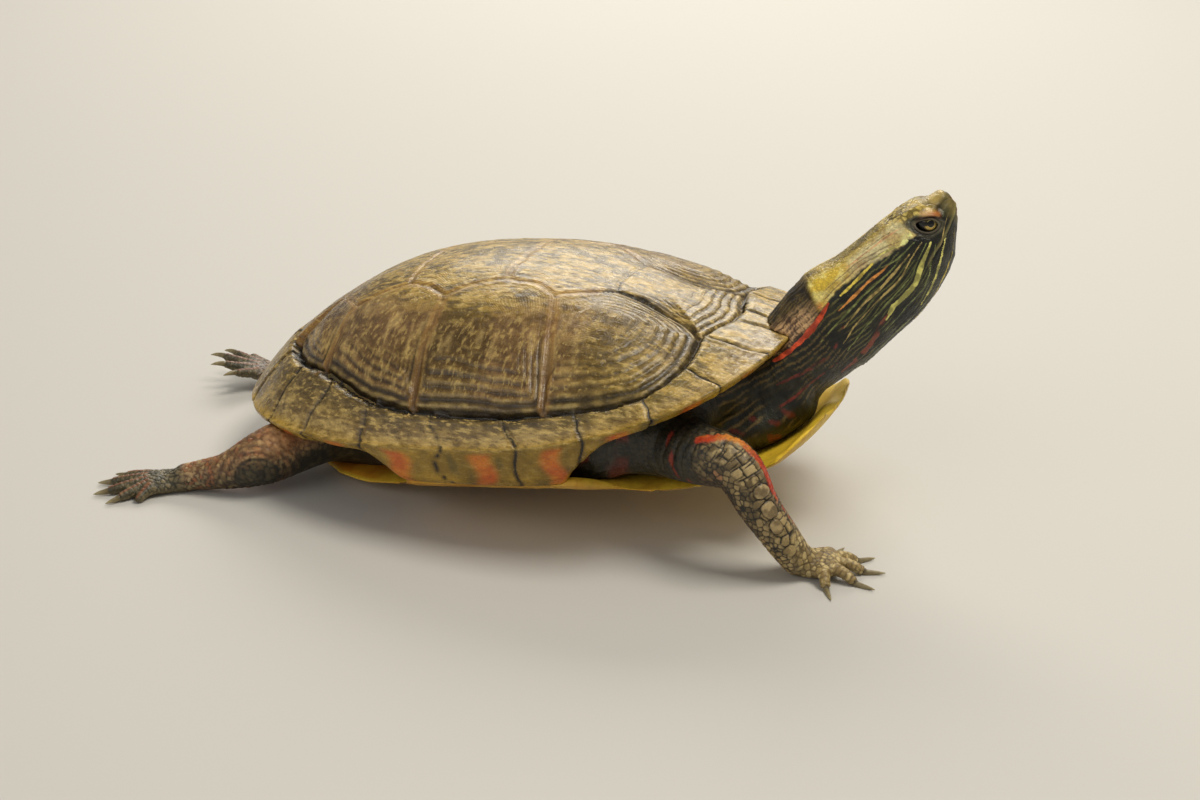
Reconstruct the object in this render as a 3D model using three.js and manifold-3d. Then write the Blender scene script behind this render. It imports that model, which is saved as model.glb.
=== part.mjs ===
// Painted turtle (Chrysemys picta), adult, 150 mm carapace, basking stance.
// Millimetres, +Z up, floor at z = 0, +X towards the front of the shell, +Y to
// the animal's left.  The model is a still one: every piece is one closed body
// and neighbours keep a clearance of CLEAR.
import * as THREE from "three";
import { mergeVertices } from "three/addons/utils/BufferGeometryUtils.js";
import Module from "manifold-3d";

const wasm = await Module();
wasm.setup();

// ---------------------------------------------------------------- sizes
const CLEAR = 0.3;             // gap between neighbouring pieces
const CL = 150;                // straight carapace length
const HALF_W = 56.8;           // half of the carapace width
const DOME_H = 29.4;           // dome height over the plane of the rim
const RIM_EXP = 2.45;          // squareness of the shell seen from above
const RIM_TAPER = -0.03;       // the shell is a little wider behind
const RIM_FRONT = 8.8, RIM_REAR = -1.7, RIM_SIDE = -3.0; // rise of the rim
const APEX_X = -3.1;           // the highest point lies a little behind the middle
const SHELL_WALL = 3.6;        // thickness of the carapace
const RIM_LIP = 2.7;           // thickness of the free shell edge
const BRIDGE_FRONT = 38, BRIDGE_REAR = -16;  // ends of the bridge along X
const BRIDGE_Z = -15.3;        // lower edge of the carapace over the bridge
const PLASTRON_Z = -23.5;      // underside of the lower shell
const PLASTRON_FRONT = 84.5, PLASTRON_REAR = -67;
const PLASTRON_T = 2.6;        // thickness of the lower shell
const PITCH = 8.2 * Math.PI / 180;   // the shell is tilted nose up
const RIDE = 30.0;             // height of the rim plane's centre over the floor
const HEAD_YAW = 24 * Math.PI / 180, HEAD_PITCH = 38 * Math.PI / 180;
const HEAD_AT = [100.6, 15.4, 78.1];  // middle of the head between the eyes
const EYE_R = 3.1, EYE_OUT = 4.35;    // eyeball radius and distance from the mid plane
const EYE_F = 0.0, EYE_U = 0.15;

const { abs, sin, cos, sign, pow, max, min, PI, hypot, sqrt } = Math;
const clamp = (v, a, b) => max(a, min(b, v));
const smooth = (a, b, v) => { const t = clamp((v - a) / (b - a), 0, 1); return t * t * (3 - 2 * t); };
const mix = (a, b, t) => a + (b - a) * t;
const add = (a, b, k = 1) => [a[0] + b[0] * k, a[1] + b[1] * k, a[2] + b[2] * k];

// ---------------------------------------------------------------- mesh tools
function signedVolume(pos, idx) {
  let v = 0;
  for (let i = 0; i < idx.length; i += 3) {
    const [a, b, c] = [idx[i] * 3, idx[i + 1] * 3, idx[i + 2] * 3];
    v += pos[a] * (pos[b + 1] * pos[c + 2] - pos[b + 2] * pos[c + 1])
       - pos[a + 1] * (pos[b] * pos[c + 2] - pos[b + 2] * pos[c])
       + pos[a + 2] * (pos[b] * pos[c + 1] - pos[b + 1] * pos[c]);
  }
  return v / 6;
}
function geometry(pos, idx) {
  if (signedVolume(pos, idx) < 0) for (let i = 0; i < idx.length; i += 3) [idx[i + 1], idx[i + 2]] = [idx[i + 2], idx[i + 1]];
  const g = new THREE.BufferGeometry();
  g.setAttribute("position", new THREE.Float32BufferAttribute(pos, 3));
  g.setIndex(idx);
  return g;
}
// A closed body through rings of points.  A ring of one point is a pole; an end
// ring of many points is closed by a fan, or by strips when flat is true.
function loft(rings, flat = false) {
  const pos = [], idx = [], start = [];
  for (const r of rings) { start.push(pos.length / 3); for (const p of r) pos.push(...p); }
  for (let k = 0; k + 1 < rings.length; k++) {
    const A = rings[k].length, B = rings[k + 1].length, a0 = start[k], b0 = start[k + 1];
    const n = max(A, B);
    for (let i = 0; i < n; i++) {
      const j = (i + 1) % n;
      if (A === 1) idx.push(a0, b0 + i, b0 + j);
      else if (B === 1) idx.push(a0 + i, b0, a0 + j);
      else idx.push(a0 + i, b0 + i, b0 + j, a0 + i, b0 + j, a0 + j);
    }
  }
  const cap = (k, turn) => {
    const r = rings[k], n = r.length, s = start[k];
    if (n === 1) return;
    if (flat) {
      for (let i = 0; i + 1 < n / 2; i++) {
        const q = [s + i, s + i + 1, s + n - 2 - i, s + n - 1 - i];
        const f = [[q[0], q[1], q[2]], [q[0], q[2], q[3]]];
        for (const t of f) turn ? idx.push(t[0], t[1], t[2]) : idx.push(t[0], t[2], t[1]);
      }
      return;
    }
    const c = [0, 1, 2].map((m) => r.reduce((u, p) => u + p[m], 0) / n);
    const ci = pos.length / 3; pos.push(...c);
    for (let i = 0; i < n; i++) { const j = (i + 1) % n; turn ? idx.push(ci, s + i, s + j) : idx.push(ci, s + j, s + i); }
  };
  cap(0, true); cap(rings.length - 1, false);
  return geometry(pos, idx);
}
function solid(g) {
  g = g.clone(); g.deleteAttribute("normal"); g.deleteAttribute("uv");
  g = mergeVertices(g, 1e-4);
  const m = new wasm.Manifold(new wasm.Mesh({ numProp: 3,
    vertProperties: new Float32Array(g.attributes.position.array), triVerts: new Uint32Array(g.index.array) }));
  if (m.volume() < 0) throw new Error("inside out");
  return m;
}
function fromSolid(m) {
  const k = m.getMesh(), pos = [];
  for (let i = 0; i < k.vertProperties.length; i += k.numProp) pos.push(k.vertProperties[i], k.vertProperties[i + 1], k.vertProperties[i + 2]);
  return mergeVertices(geometry(pos, Array.from(k.triVerts)), 1e-4);
}
const slab = (x0, x1, y0, y1, z0, z1) => solid(new THREE.BoxGeometry(x1 - x0, y1 - y0, z1 - z0).translate((x0 + x1) / 2, (y0 + y1) / 2, (z0 + z1) / 2));
const aboveFloor = (m) => m.intersect(slab(-300, 300, -300, 300, 0, 300));

const group = new THREE.Group();
group.name = "painted_turtle";
function piece(name, g, colour, roughness, parent = group, metalness = 0) {
  g.computeVertexNormals();
  const m = new THREE.Mesh(g, new THREE.MeshStandardMaterial({ color: colour, roughness, metalness }));
  m.name = name; parent.add(m); return m;
}

// ---------------------------------------------------------------- shell
// Shell frame: origin in the middle of the rim plane, before the tilt.
const toFloor = ([x, y, z]) => [cos(PITCH) * x - sin(PITCH) * z, y, sin(PITCH) * x + cos(PITCH) * z + RIDE];
const spow = (v, e) => sign(v) * pow(abs(v), e);
const byQuarter = (t, front, rear, side) => front * max(cos(t), 0) ** 2 + rear * max(-cos(t), 0) ** 2 + side * sin(t) ** 2;
function rimXY(t) {
  const e = 2 / RIM_EXP, x = CL / 2 * spow(cos(t), e);
  return [x, -HALF_W * spow(sin(t), e) * (1 - RIM_TAPER * x / (CL / 2))];
}
const rimZ = (t) => byQuarter(t, RIM_FRONT, RIM_REAR, RIM_SIDE);
function dome(t, r) {
  const [x, y] = rimXY(t);
  const p = byQuarter(t, 1.70, 2.22, 2.23), k = byQuarter(t, 1.18, 0.87, 0.85);
  return [APEX_X + (x - APEX_X) * r, y * r, rimZ(t) * r * r + DOME_H * pow(max(0, 1 - pow(r, p)), k)];
}
const bridgeWeight = (t) => { const x = rimXY(t)[0]; return smooth(BRIDGE_REAR - 9, BRIDGE_REAR + 4, x) * (1 - smooth(BRIDGE_FRONT - 6, BRIDGE_FRONT + 8, x)); };
// lower part of the carapace at angle t: [share of the rim's reach, height]
function under(t, k) {
  const w = bridgeWeight(t), z0 = rimZ(t);
  const d = (r, drop) => [r, dome(t, r)[2] - drop];
  const free = [[0.997, z0 - 1.3], [0.975, z0 - RIM_LIP], [0.93, z0 - RIM_LIP - 0.2], d(0.86, 4.4), d(0.80, 4.2), d(0.76, 4.0)][k];
  const tied = [[0.999, z0 - 2.6], [0.985, z0 - 6.2], [0.955, z0 - 10.2], [0.895, BRIDGE_Z], [0.835, BRIDGE_Z + 0.3], [0.835, z0 - 5]][k];
  return [mix(free[0], tied[0], w), mix(free[1], tied[1], w)];
}
const N_ROUND = 44;
const ringAt = (f, n = N_ROUND) => [...Array(n).keys()].map((i) => {
  const u = i / n * 2 * PI; return f(u - 0.08 * sin(2 * u));   // slightly denser along the sides
});
const atShare = (t, r, z) => { const [x, y] = rimXY(t); return toFloor([APEX_X + (x - APEX_X) * r, y * r, z]); };
function carapace(grow = 0) {
  const rings = [[toFloor(dome(0, 0))]];
  for (const r of [0.16, 0.32, 0.48, 0.62, 0.74, 0.84, 0.93, 1.0]) rings.push(ringAt((t) => toFloor(dome(t, r))));
  for (let k = 0; k < 6; k++) rings.push(ringAt((t) => { const [r, z] = under(t, k); return atShare(t, k < 4 ? r + grow / 50 : r - grow / 50, z - grow); }));
  for (const r of [0.735, 0.60, 0.42, 0.22]) rings.push(ringAt((t) => atShare(t, r, dome(t, r)[2] - SHELL_WALL - grow)));
  rings.push([toFloor([APEX_X, 0, DOME_H - SHELL_WALL - grow])]);
  return loft(rings);
}

// Lower shell: half width and underside along X, with the bridge curling up.
function plastronHalf(x, grow = 0) {
  const lobeF = 35.2 - 7 * smooth(44, 72, x), lobeR = 37.5 - 5 * smooth(-30, -48, x);
  const lobe = mix(lobeR, lobeF, smooth(-20, 30, x));
  const bridge = 14.2 * smooth(BRIDGE_REAR - 7, BRIDGE_REAR + 5, x) * (1 - smooth(BRIDGE_FRONT - 6, BRIDGE_FRONT + 6, x));
  const nose = sqrt(clamp((PLASTRON_FRONT + grow - x) / 7.6, 0, 1)), stern = sqrt(clamp((x - PLASTRON_REAR + grow) / 24, 0, 1));
  return max(0.8, (lobe + bridge) * (0.25 + 0.75 * nose) * (0.12 + 0.88 * stern)) + grow;
}
function plastronUnder(x, v) {
  const b = smooth(BRIDGE_REAR - 7, BRIDGE_REAR + 5, x) * (1 - smooth(BRIDGE_FRONT - 6, BRIDGE_FRONT + 6, x));
  const mid = PLASTRON_Z + 10.2 * pow(clamp((x - 45) / (PLASTRON_FRONT - 45), 0, 1), 3.7) + 2.6 * pow(clamp((-30 - x) / 37, 0, 1), 1.5);
  const lift = mix(1.0 + 1.2 * smooth(45, PLASTRON_FRONT, x), -CLEAR + BRIDGE_Z - PLASTRON_Z, b);
  return mid + lift * pow(abs(v), mix(3.5, 4.2, b));
}
function plastron(grow = 0) {
  const xs = [], n = 18, m = 7, rings = [];
  for (let i = 0; i <= n; i++) { const u = i / n; xs.push(mix(PLASTRON_REAR - grow, PLASTRON_FRONT + grow, 0.5 - 0.5 * cos(PI * mix(0.0, 1.0, u)) * mix(1, 0.999, u))); }
  for (const x of xs) {
    const w = plastronHalf(x, grow), low = [], top = [];
    for (let j = 0; j <= m; j++) {
      const v = sin((j / m * 2 - 1) * PI / 2), z = plastronUnder(x, v);
      const steep = 3.9 * (BRIDGE_Z - PLASTRON_Z) / w * pow(abs(v), 3.2) * smooth(36, 48, w);
      const ln = hypot(1, steep), nx = -sign(v) * steep / ln, nz = 1 / ln;
      const edge = 1 - 0.55 * pow(abs(v), 10) * (1 - smooth(36, 48, w));
      low.push(toFloor([x, v * w - nx * grow, z - nz * grow]));
      const t = (PLASTRON_T + grow) * edge;
      top.push(toFloor([x, v * w * (1 - 0.0) + nx * t, z + nz * t]));
    }
    rings.push([...low, ...top.reverse()]);
  }
  return loft(rings, true);
}

// Body inside the shell: follows the inner wall, shows between the shells at
// the front and the back, and rests on the lower shell.
function trunkBlank(grow = 0) {
  const rings = [[toFloor([APEX_X, 0, DOME_H - SHELL_WALL - 0.9 + grow])]], n = 28;
  for (const r of [0.26, 0.48, 0.64, 0.735]) rings.push(ringAt((t) => atShare(t, r, dome(t, r)[2] - SHELL_WALL - 1.1 + grow), n));
  const side = (t, k) => {
    const w = bridgeWeight(t), d = dome(t, 0.77)[2], c = max(cos(t), 0), e = max(-cos(t), 0);
    const zf = PLASTRON_Z + 7 * c * c + 2 * e * e;
    const free = [[0.775, d - 5.2], [0.83 + 0.03 * c, mix(d - 5.2, zf, 0.35)], [0.835 + 0.03 * c, mix(d - 5.2, zf, 0.62)], [0.80, zf + 4.2], [0.70, zf + 1.6]][k];
    const tied = [[0.775, rimZ(t) - 2.5], [0.79, -9], [0.785, -13], [0.76, -16.5], [0.68, -20.4]][k];
    return [mix(free[0], tied[0], w), mix(free[1], tied[1], w)];
  };
  for (let k = 0; k < 5; k++) rings.push(ringAt((t) => { const [r, z] = side(t, k); return atShare(t, r + grow / 48, z + (k < 2 ? grow : k > 2 ? -grow : 0)); }, n));
  rings.push([toFloor([APEX_X, 0, PLASTRON_Z + 1.6 - grow])]);
  return loft(rings);
}

// ---------------------------------------------------------------- limbs
// A limb is a row of stations {at, a, b, up}: half width a, half depth b.
// Stations between the named ones come from Catmull-Rom interpolation.
function cubic(p0, p1, p2, p3, t) {
  return 0.5 * (2 * p1 + (p2 - p0) * t + (2 * p0 - 5 * p1 + 4 * p2 - p3) * t * t + (3 * p1 - p0 - 3 * p2 + p3) * t * t * t);
}
function station(keys, u) {            // u from 0 to keys.length - 1
  const i = clamp(Math.floor(u), 0, keys.length - 2), t = u - i;
  const k = (n) => keys[clamp(n, 0, keys.length - 1)];
  const c = (f) => cubic(f(k(i - 1)), f(k(i)), f(k(i + 1)), f(k(i + 2)), t);
  return { at: [0, 1, 2].map((m) => c((s) => s.at[m])), a: c((s) => s.a), b: c((s) => s.b),
    up: [0, 1, 2].map((m) => c((s) => s.up[m])), q: c((s) => s.q ?? 2) };
}
function sectionRing(s, dir, sides, grow = 0) {
  const d = new THREE.Vector3(...dir).normalize(), up = new THREE.Vector3(...s.up);
  up.addScaledVector(d, -up.dot(d)).normalize();
  const side = new THREE.Vector3().crossVectors(d, up);
  const e = 2 / s.q, out = [];
  for (let i = 0; i < sides; i++) {
    const t = i / sides * 2 * PI, x = (s.a + grow) * spow(cos(t), e), y = (s.b + grow) * spow(sin(t), e);
    out.push([0, 1, 2].map((m) => s.at[m] + side.getComponent(m) * x + up.getComponent(m) * y));
  }
  return out;
}
// The part of a limb between u0 and u1; round ends close over half a width.
function limb(keys, u0, u1, steps, sides, { round0 = 0, round1 = 0, grow = 0 } = {}) {
  const rings = [], eps = 0.02;
  const dirAt = (u) => { const A = station(keys, max(0, u - eps)), B = station(keys, min(keys.length - 1, u + eps)); return add(B.at, A.at, -1); };
  const unit = (v) => { const l = hypot(...v); return v.map((x) => x / l); };
  const end = (u, reach, outward, list) => {
    const s = station(keys, u), d = unit(dirAt(u));
    for (const f of list) {
      const q = { ...s, at: add(s.at, d, outward * reach * sin(f * PI / 2)), a: s.a * cos(f * PI / 2), b: s.b * cos(f * PI / 2) };
      rings.push(f === 1 ? [add(s.at, d, outward * reach)] : sectionRing(q, d, sides, grow));
    }
  };
  if (round0) end(u0, round0, -1, [1, 0.55]);
  for (let i = 0; i <= steps; i++) { const u = mix(u0, u1, i / steps); rings.push(sectionRing(station(keys, u), dirAt(u), sides, grow)); }
  if (round1) end(u1, round1, 1, [0.55, 1]);
  return loft(rings);
}

// ---------------------------------------------------------------- head and neck
const F = [cos(HEAD_YAW) * cos(HEAD_PITCH), sin(HEAD_YAW) * cos(HEAD_PITCH), sin(HEAD_PITCH)];
const U = [-cos(HEAD_YAW) * sin(HEAD_PITCH), -sin(HEAD_YAW) * sin(HEAD_PITCH), cos(HEAD_PITCH)];
const R = [sin(HEAD_YAW), -cos(HEAD_YAW), 0];
const headPoint = (f, u, r) => add(add(add(HEAD_AT, F, f), U, u), R, r);
// profile of head and throat: distance ahead of the eyes, top, bottom, half width
const PROFILE = [
  { f: -34, top: 4.9, low: -22.4, w: 11.4 }, { f: -24, top: 4.3, low: -21.1, w: 10.6 },
  { f: -15, top: 4.7, low: -19.9, w: 10.2 }, { f: -8, top: 5.2, low: -17.7, w: 9.7 },
  { f: -3, top: 5.2, low: -15.3, w: 8.6 }, { f: 0.5, top: 4.8, low: -12.8, w: 7.2 },
  { f: 2.7, top: 4.0, low: -9.9, w: 6.0 }, { f: 5.0, top: 3.1, low: -7.2, w: 4.7 },
  { f: 6.6, top: 2.5, low: -5.2, w: 3.5 }, { f: 7.6, top: 1.6, low: -3.6, w: 2.2 }];
function profileAt(f) {
  let i = 0; while (i < PROFILE.length - 2 && f > PROFILE[i + 1].f) i++;
  const A = PROFILE[i], B = PROFILE[i + 1], t = clamp((f - A.f) / (B.f - A.f), 0, 1), k = (n) => PROFILE[clamp(n, 0, PROFILE.length - 1)];
  const c = (m) => cubic(k(i - 1)[m], A[m], B[m], k(i + 2)[m], t);
  return { top: c("top"), low: c("low"), w: c("w") };
}
function headRing(f, n, grow = 0) {
  const p = profileAt(f), h = (p.top - p.low) / 2 + grow, c = (p.top + p.low) / 2, out = [];
  for (let i = 0; i < n; i++) {
    const t = i / n * 2 * PI, s = sin(t);
    // broad across the brow, narrowing towards the throat
    const w = (p.w + grow) * (1 - 0.20 * smooth(0, -1, s) * smooth(-20, 0, f));
    out.push(headPoint(f, c + h * spow(s, 0.92), w * spow(cos(t), 0.92)));
  }
  return out;
}
const HEAD_CUT = -14;
function head() {
  const rings = [], n = HEAD_SIDES;
  for (const f of [HEAD_CUT + CLEAR / 2, -11, -8, -5, -2.4, 0, 2, 3.8, 5.4, 6.6, 7.5]) rings.push(headRing(f, n));
  rings.push([headPoint(8.1, -0.8, 0)]);
  let m = solid(loft(rings));
  for (const s of [1, -1]) {
    const p = headPoint(EYE_F, EYE_U, s * EYE_OUT);
    m = m.subtract(solid(new THREE.SphereGeometry(EYE_R + CLEAR, 12, 8).translate(...p)));
  }
  return m;
}
// the neck turns from the line of the head into the shell
const NECK_ROOT = [
  { at: [52, -2, 33], a: 15, b: 10.5, up: [0.05, 0, 1] },
  { at: [62, -0.5, 34.6], a: 14, b: 10.4, up: [-0.25, -0.02, 1] },
  { at: [71.5, 2.4, 40.2], a: 12.6, b: 11.4, up: [-0.55, -0.14, 0.9] },
  { at: headPoint(-34, -8.75, 0), a: 11.4, b: 13.65, up: U }];
const HEAD_SIDES = 20;
function neckBlank() {
  const rings = [], d0 = add(NECK_ROOT[1].at, NECK_ROOT[0].at, -1);
  rings.push([add(NECK_ROOT[0].at, d0, -0.5)]);
  for (const u of [0, 0.5, 1, 1.5, 2, 2.5]) {
    const d = add(station(NECK_ROOT, u + 0.02).at, station(NECK_ROOT, max(0, u - 0.02)).at, -1);
    rings.push(sectionRing(station(NECK_ROOT, u), d, HEAD_SIDES));
  }
  for (const f of [-34, -29, -24, -19, HEAD_CUT - CLEAR / 2]) rings.push(headRing(f, HEAD_SIDES));
  return solid(loft(rings));
}

// ---------------------------------------------------------------- legs
const legs = {
  foreleg_right: {
    keys: [
      { at: [47, -27, 25], a: 8.5, b: 8.5, up: [0, 0, 1] }, { at: [61, -35.5, 27.5], a: 7.6, b: 7.6, up: [0, 0.3, 1] },
      { at: [72, -39.5, 27.5], a: 6.3, b: 6.2, up: [0.7, 0, 0.9] }, { at: [78.2, -39.8, 18.8], a: 5.3, b: 5.0, up: [1, 0, 0.3] },
      { at: [83.6, -38.6, 11.2], a: 5.0, b: 4.4, up: [1, 0, 0.5] }, { at: [87.0, -36.0, 5.0], a: 4.9, b: 3.9, up: [0.7, 0, 0.8] }],
    split: [2.15, 4.9], palm: { at: [90.8, -33.4, 2.8], heading: 20, len: 6.4, wide: 5.8, thick: 3.2, tilt: 0 },
    toes: [[-80, 3.0, 3.4], [-30, 5.0, 4.2], [0, 5.8, 4.6], [26, 5.6, 4.4], [58, 3.6, 3.8]], toeR: 1.4, claw: 5.4 },
  foreleg_left: {
    keys: [
      { at: [43, 28, 24], a: 8.5, b: 8.5, up: [0, 0, 1] }, { at: [50, 38, 25], a: 7.4, b: 7.4, up: [0, -0.3, 1] },
      { at: [53.5, 47.5, 24], a: 6.2, b: 6.1, up: [0.3, 0.6, 0.9] }, { at: [52.5, 52.6, 17], a: 5.3, b: 5.0, up: [0.3, 1, 0.3] },
      { at: [50.8, 54.6, 10.0], a: 5.0, b: 4.4, up: [0.4, 1, 0.4] }, { at: [50.2, 56.0, 5.0], a: 4.9, b: 3.9, up: [0.2, 0.7, 0.8] }],
    split: [2.15, 4.9], palm: { at: [51.0, 59.6, 2.8], heading: 72, len: 6.4, wide: 5.8, thick: 3.2, tilt: 0 },
    toes: [[66, 3.0, 3.4], [28, 5.0, 4.2], [0, 5.8, 4.6], [-26, 5.6, 4.4], [-58, 3.6, 3.8]], toeR: 1.4, claw: 5.4 },
  hindleg_right: {
    keys: [
      { at: [-38, -24, 15.5], a: 7.6, b: 8.4, up: [0, 0, 1] }, { at: [-48, -37.5, 12.2], a: 7.2, b: 7.9, up: [0, 0, 1] },
      { at: [-55.5, -46, 9.2], a: 6.7, b: 7.0, up: [0, 0, 1] }, { at: [-63.5, -49.8, 5.9], a: 5.0, b: 4.7, up: [0, 0, 1] },
      { at: [-70.0, -51.6, 4.3], a: 4.3, b: 3.8, up: [0, 0, 1] }, { at: [-75.0, -53.2, 3.3], a: 4.3, b: 3.1, up: [0, 0, 1] }],
    split: [2.1, 4.9], palm: { at: [-79.4, -55.2, 2.1], heading: 211, len: 7.0, wide: 6.0, thick: 2.4, tilt: 0 },
    toes: [[-34, 5.4, 4.2], [-13, 7.0, 5.0], [8, 7.4, 5.2], [29, 6.4, 4.6]], fifth: [50, 4.0, 3.6], toeR: 1.35, claw: 3.8, web: true },
  hindleg_left: {
    keys: [
      { at: [-36, 24, 16], a: 9, b: 9, up: [0, 0, 1] }, { at: [-47, 33, 12.6], a: 8.6, b: 8.4, up: [0, 0, 1] },
      { at: [-58, 35.5, 9.2], a: 7.0, b: 7.2, up: [0, 0, 1] }, { at: [-69, 31.0, 6.6], a: 5.3, b: 5.4, up: [0, 0, 1] },
      { at: [-78, 25.0, 4.8], a: 4.5, b: 4.2, up: [0, 0, 1] }, { at: [-84.6, 20.6, 3.7], a: 4.3, b: 3.4, up: [0, 0, 1] }],
    split: [2.1, 4.9], palm: { at: [-89.0, 17.6, 3.5], heading: 204, len: 7.0, wide: 6.0, thick: 2.5, tilt: 18 },
    toes: [[34, 5.4, 4.2], [13, 7.0, 5.0], [-8, 7.4, 5.2], [-29, 6.4, 4.6]], fifth: [-50, 4.0, 3.6], toeR: 1.35, claw: 3.8, web: true },
};
const rad = (d) => d * PI / 180;
// A foot is built lying along +X at the origin and then set in place.
function placeFoot(p, g) {
  const m = new THREE.Matrix4().makeRotationZ(rad(p.heading)).multiply(new THREE.Matrix4().makeRotationY(-rad(p.tilt)));
  m.setPosition(...p.at); return g.applyMatrix4(m);
}
function toeKeys(t, p, r) {
  const [deg, reach, len] = t, d = rad(deg), c = cos(d), s = sin(d);
  const x0 = p.len * 0.25, y0 = s * p.wide * 0.45;
  const drop = p.tilt ? 0 : -1;
  return [
    { at: [x0, y0, 0.2], a: r * 1.25, b: r * 1.1, up: [0, 0, 1] },
    { at: [x0 + c * reach * 0.62, y0 + s * reach * 0.62, 0.35], a: r * 1.12, b: r * 1.05, up: [0, 0, 1] },
    { at: [x0 + c * (reach + len * 0.35), y0 + s * (reach + len * 0.35), 0.1 + drop * 0.35], a: r, b: r * 0.98, up: [0, 0, 1] },
    { at: [x0 + c * (reach + len), y0 + s * (reach + len), drop * (p.at[2] - r) * 1.25], a: r * 0.82, b: r * 0.82, up: [0, 0, 1] }];
}
function palm(p, grow = 0) {
  const keys = [
    { at: [-p.len * 0.75, 0, 0.3], a: p.wide * 0.62, b: p.thick * 1.02, up: [0, 0, 1] },
    { at: [0, 0, 0], a: p.wide * 0.92, b: p.thick * 0.95, up: [0, 0, 1] },
    { at: [p.len * 0.62, 0, -0.1], a: p.wide * 0.95, b: p.thick * 0.68, up: [0, 0, 1] }];
  return solid(placeFoot(p, limb(keys, 0, 2, 3, 10, { round0: 1.2 + grow, round1: 1.6, grow })));
}
function foot(leg) {
  const p = leg.palm, r = leg.toeR;
  let m = palm(p);
  const all = leg.fifth ? [...leg.toes, leg.fifth] : leg.toes;
  for (const t of all) m = m.add(solid(placeFoot(p, limb(toeKeys(t, p, r), 0, 3, 3, 6, t === leg.fifth ? { round1: 1.0 } : {}))));
  if (leg.web) {                        // skin between the hind toes
    const pts = [], order = [...all].sort((a, b) => a[0] - b[0]), tip = (t, k) => { const q = toeKeys(t, p, r)[2].at; return [q[0] * k, q[1] * k, q[2] * 1]; };
    const low = [], top = [];
    order.forEach((t, i) => {
      low.push(tip(t, 0.97));
      if (i + 1 < order.length) { const a = tip(t, 0.86), b = tip(order[i + 1], 0.86); low.push(a.map((v, m2) => (v + b[m2]) / 2)); }
    });
    const ring = (z) => [[-1, 0, z], ...low.map((q) => [q[0], q[1], q[2] + z])];
    const A = ring(-0.55), B = ring(0.55), pos = [], idx = [], n = A.length;
    for (const q of [...A, ...B]) pos.push(...q);
    for (let i = 1; i + 1 < n; i++) { idx.push(0, i + 1, i); idx.push(n, n + i, n + i + 1); }
    for (let i = 0; i < n; i++) { const j = (i + 1) % n; idx.push(i, j, n + j, i, n + j, n + i); }
    m = m.add(solid(placeFoot(p, geometry(pos, idx))));
  }
  return m;
}
// claws: curved cones that start one clearance beyond the toe tips
function claws(leg) {
  return leg.toes.map((t) => {
    const p = leg.palm, k = toeKeys(t, p, leg.toeR), e = k[3], d0 = add(k[3].at, k[2].at, -1), l0 = hypot(...d0);
    const d = d0.map((v) => v / l0), r = leg.toeR * 0.62, L = leg.claw, flat = [d[0], d[1], 0];
    const lf = hypot(...flat), hd = flat.map((v) => v / lf);
    const near = 0.9, along = (s) => CLEAR + 0.06 + min(s, near), beyond = (s) => max(0, s - near);
    const low = p.tilt ? 0.9 : max(0, e.at[2] + d[2] * along(near) + p.at[2] - 0.62);
    const keys = [[0, 0, 1], [near, 0, 0.9], [L * 0.65, 0.4, 0.6], [L, 1, 0.2]].map(([s, q, w]) => ({
      at: [e.at[0] + d[0] * along(s) + hd[0] * beyond(s), e.at[1] + d[1] * along(s) + hd[1] * beyond(s), e.at[2] + d[2] * along(s) - q * low],
      a: r * w * 0.85, b: r * w, up: [0, 0, 1] }));
    return placeFoot(p, limb(keys, 0, 3, 3, 5));
  });
}

// ---------------------------------------------------------------- assembly
const SHELL = "#6b6134", BELLY = "#c79a3a", SKIN = "#34342a", EYE = "#15130c", CLAW = "#8f8468";
const carapaceG = carapace();
const carapaceM = solid(carapaceG);
const G = CLEAR + 0.05;
const shellWide = [[G, 0, 0], [-G, 0, 0], [0, G, 0], [0, -G, 0], [0, 0, -G]].reduce((m, d) => m.add(carapaceM.translate(d)), solid(carapace(G)));
const biggest = (m) => m.decompose().sort((a, b) => b.volume() - a.volume())[0];
const plastronM = biggest(aboveFloor(solid(plastron())).subtract(shellWide));
const plastronWide = solid(plastron(CLEAR + 0.05));
piece("carapace", carapaceG, SHELL, 0.42);
piece("plastron", fromSolid(plastronM), BELLY, 0.4);

// skin of the breast, from between the forelegs up to the throat
const breast = (g) => solid(limb([
  { at: [48, -2, 23], a: 20, b: 8, up: [0, 0, 1] }, { at: [58, -2.5, 23.5], a: 19, b: 8.5, up: [0, 0, 1] },
  { at: [67, -3, 26], a: 14.5, b: 7.2, up: [-0.3, 0, 1] }, { at: [75.5, 0, 31.5], a: 9.5, b: 6.2, up: [-0.6, 0, 0.9] }], 0, 3, 6, 14, { round1: 3, grow: g }));
const torso = (g) => solid(trunkBlank(g)).add(breast(g));
const trunk = torso(0).subtract(plastronWide).subtract(shellWide).intersect(slab(-300, 300, -300, 300, 0.6, 300));
piece("trunk", fromSolid(biggest(trunk)), SKIN, 0.7);
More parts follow.
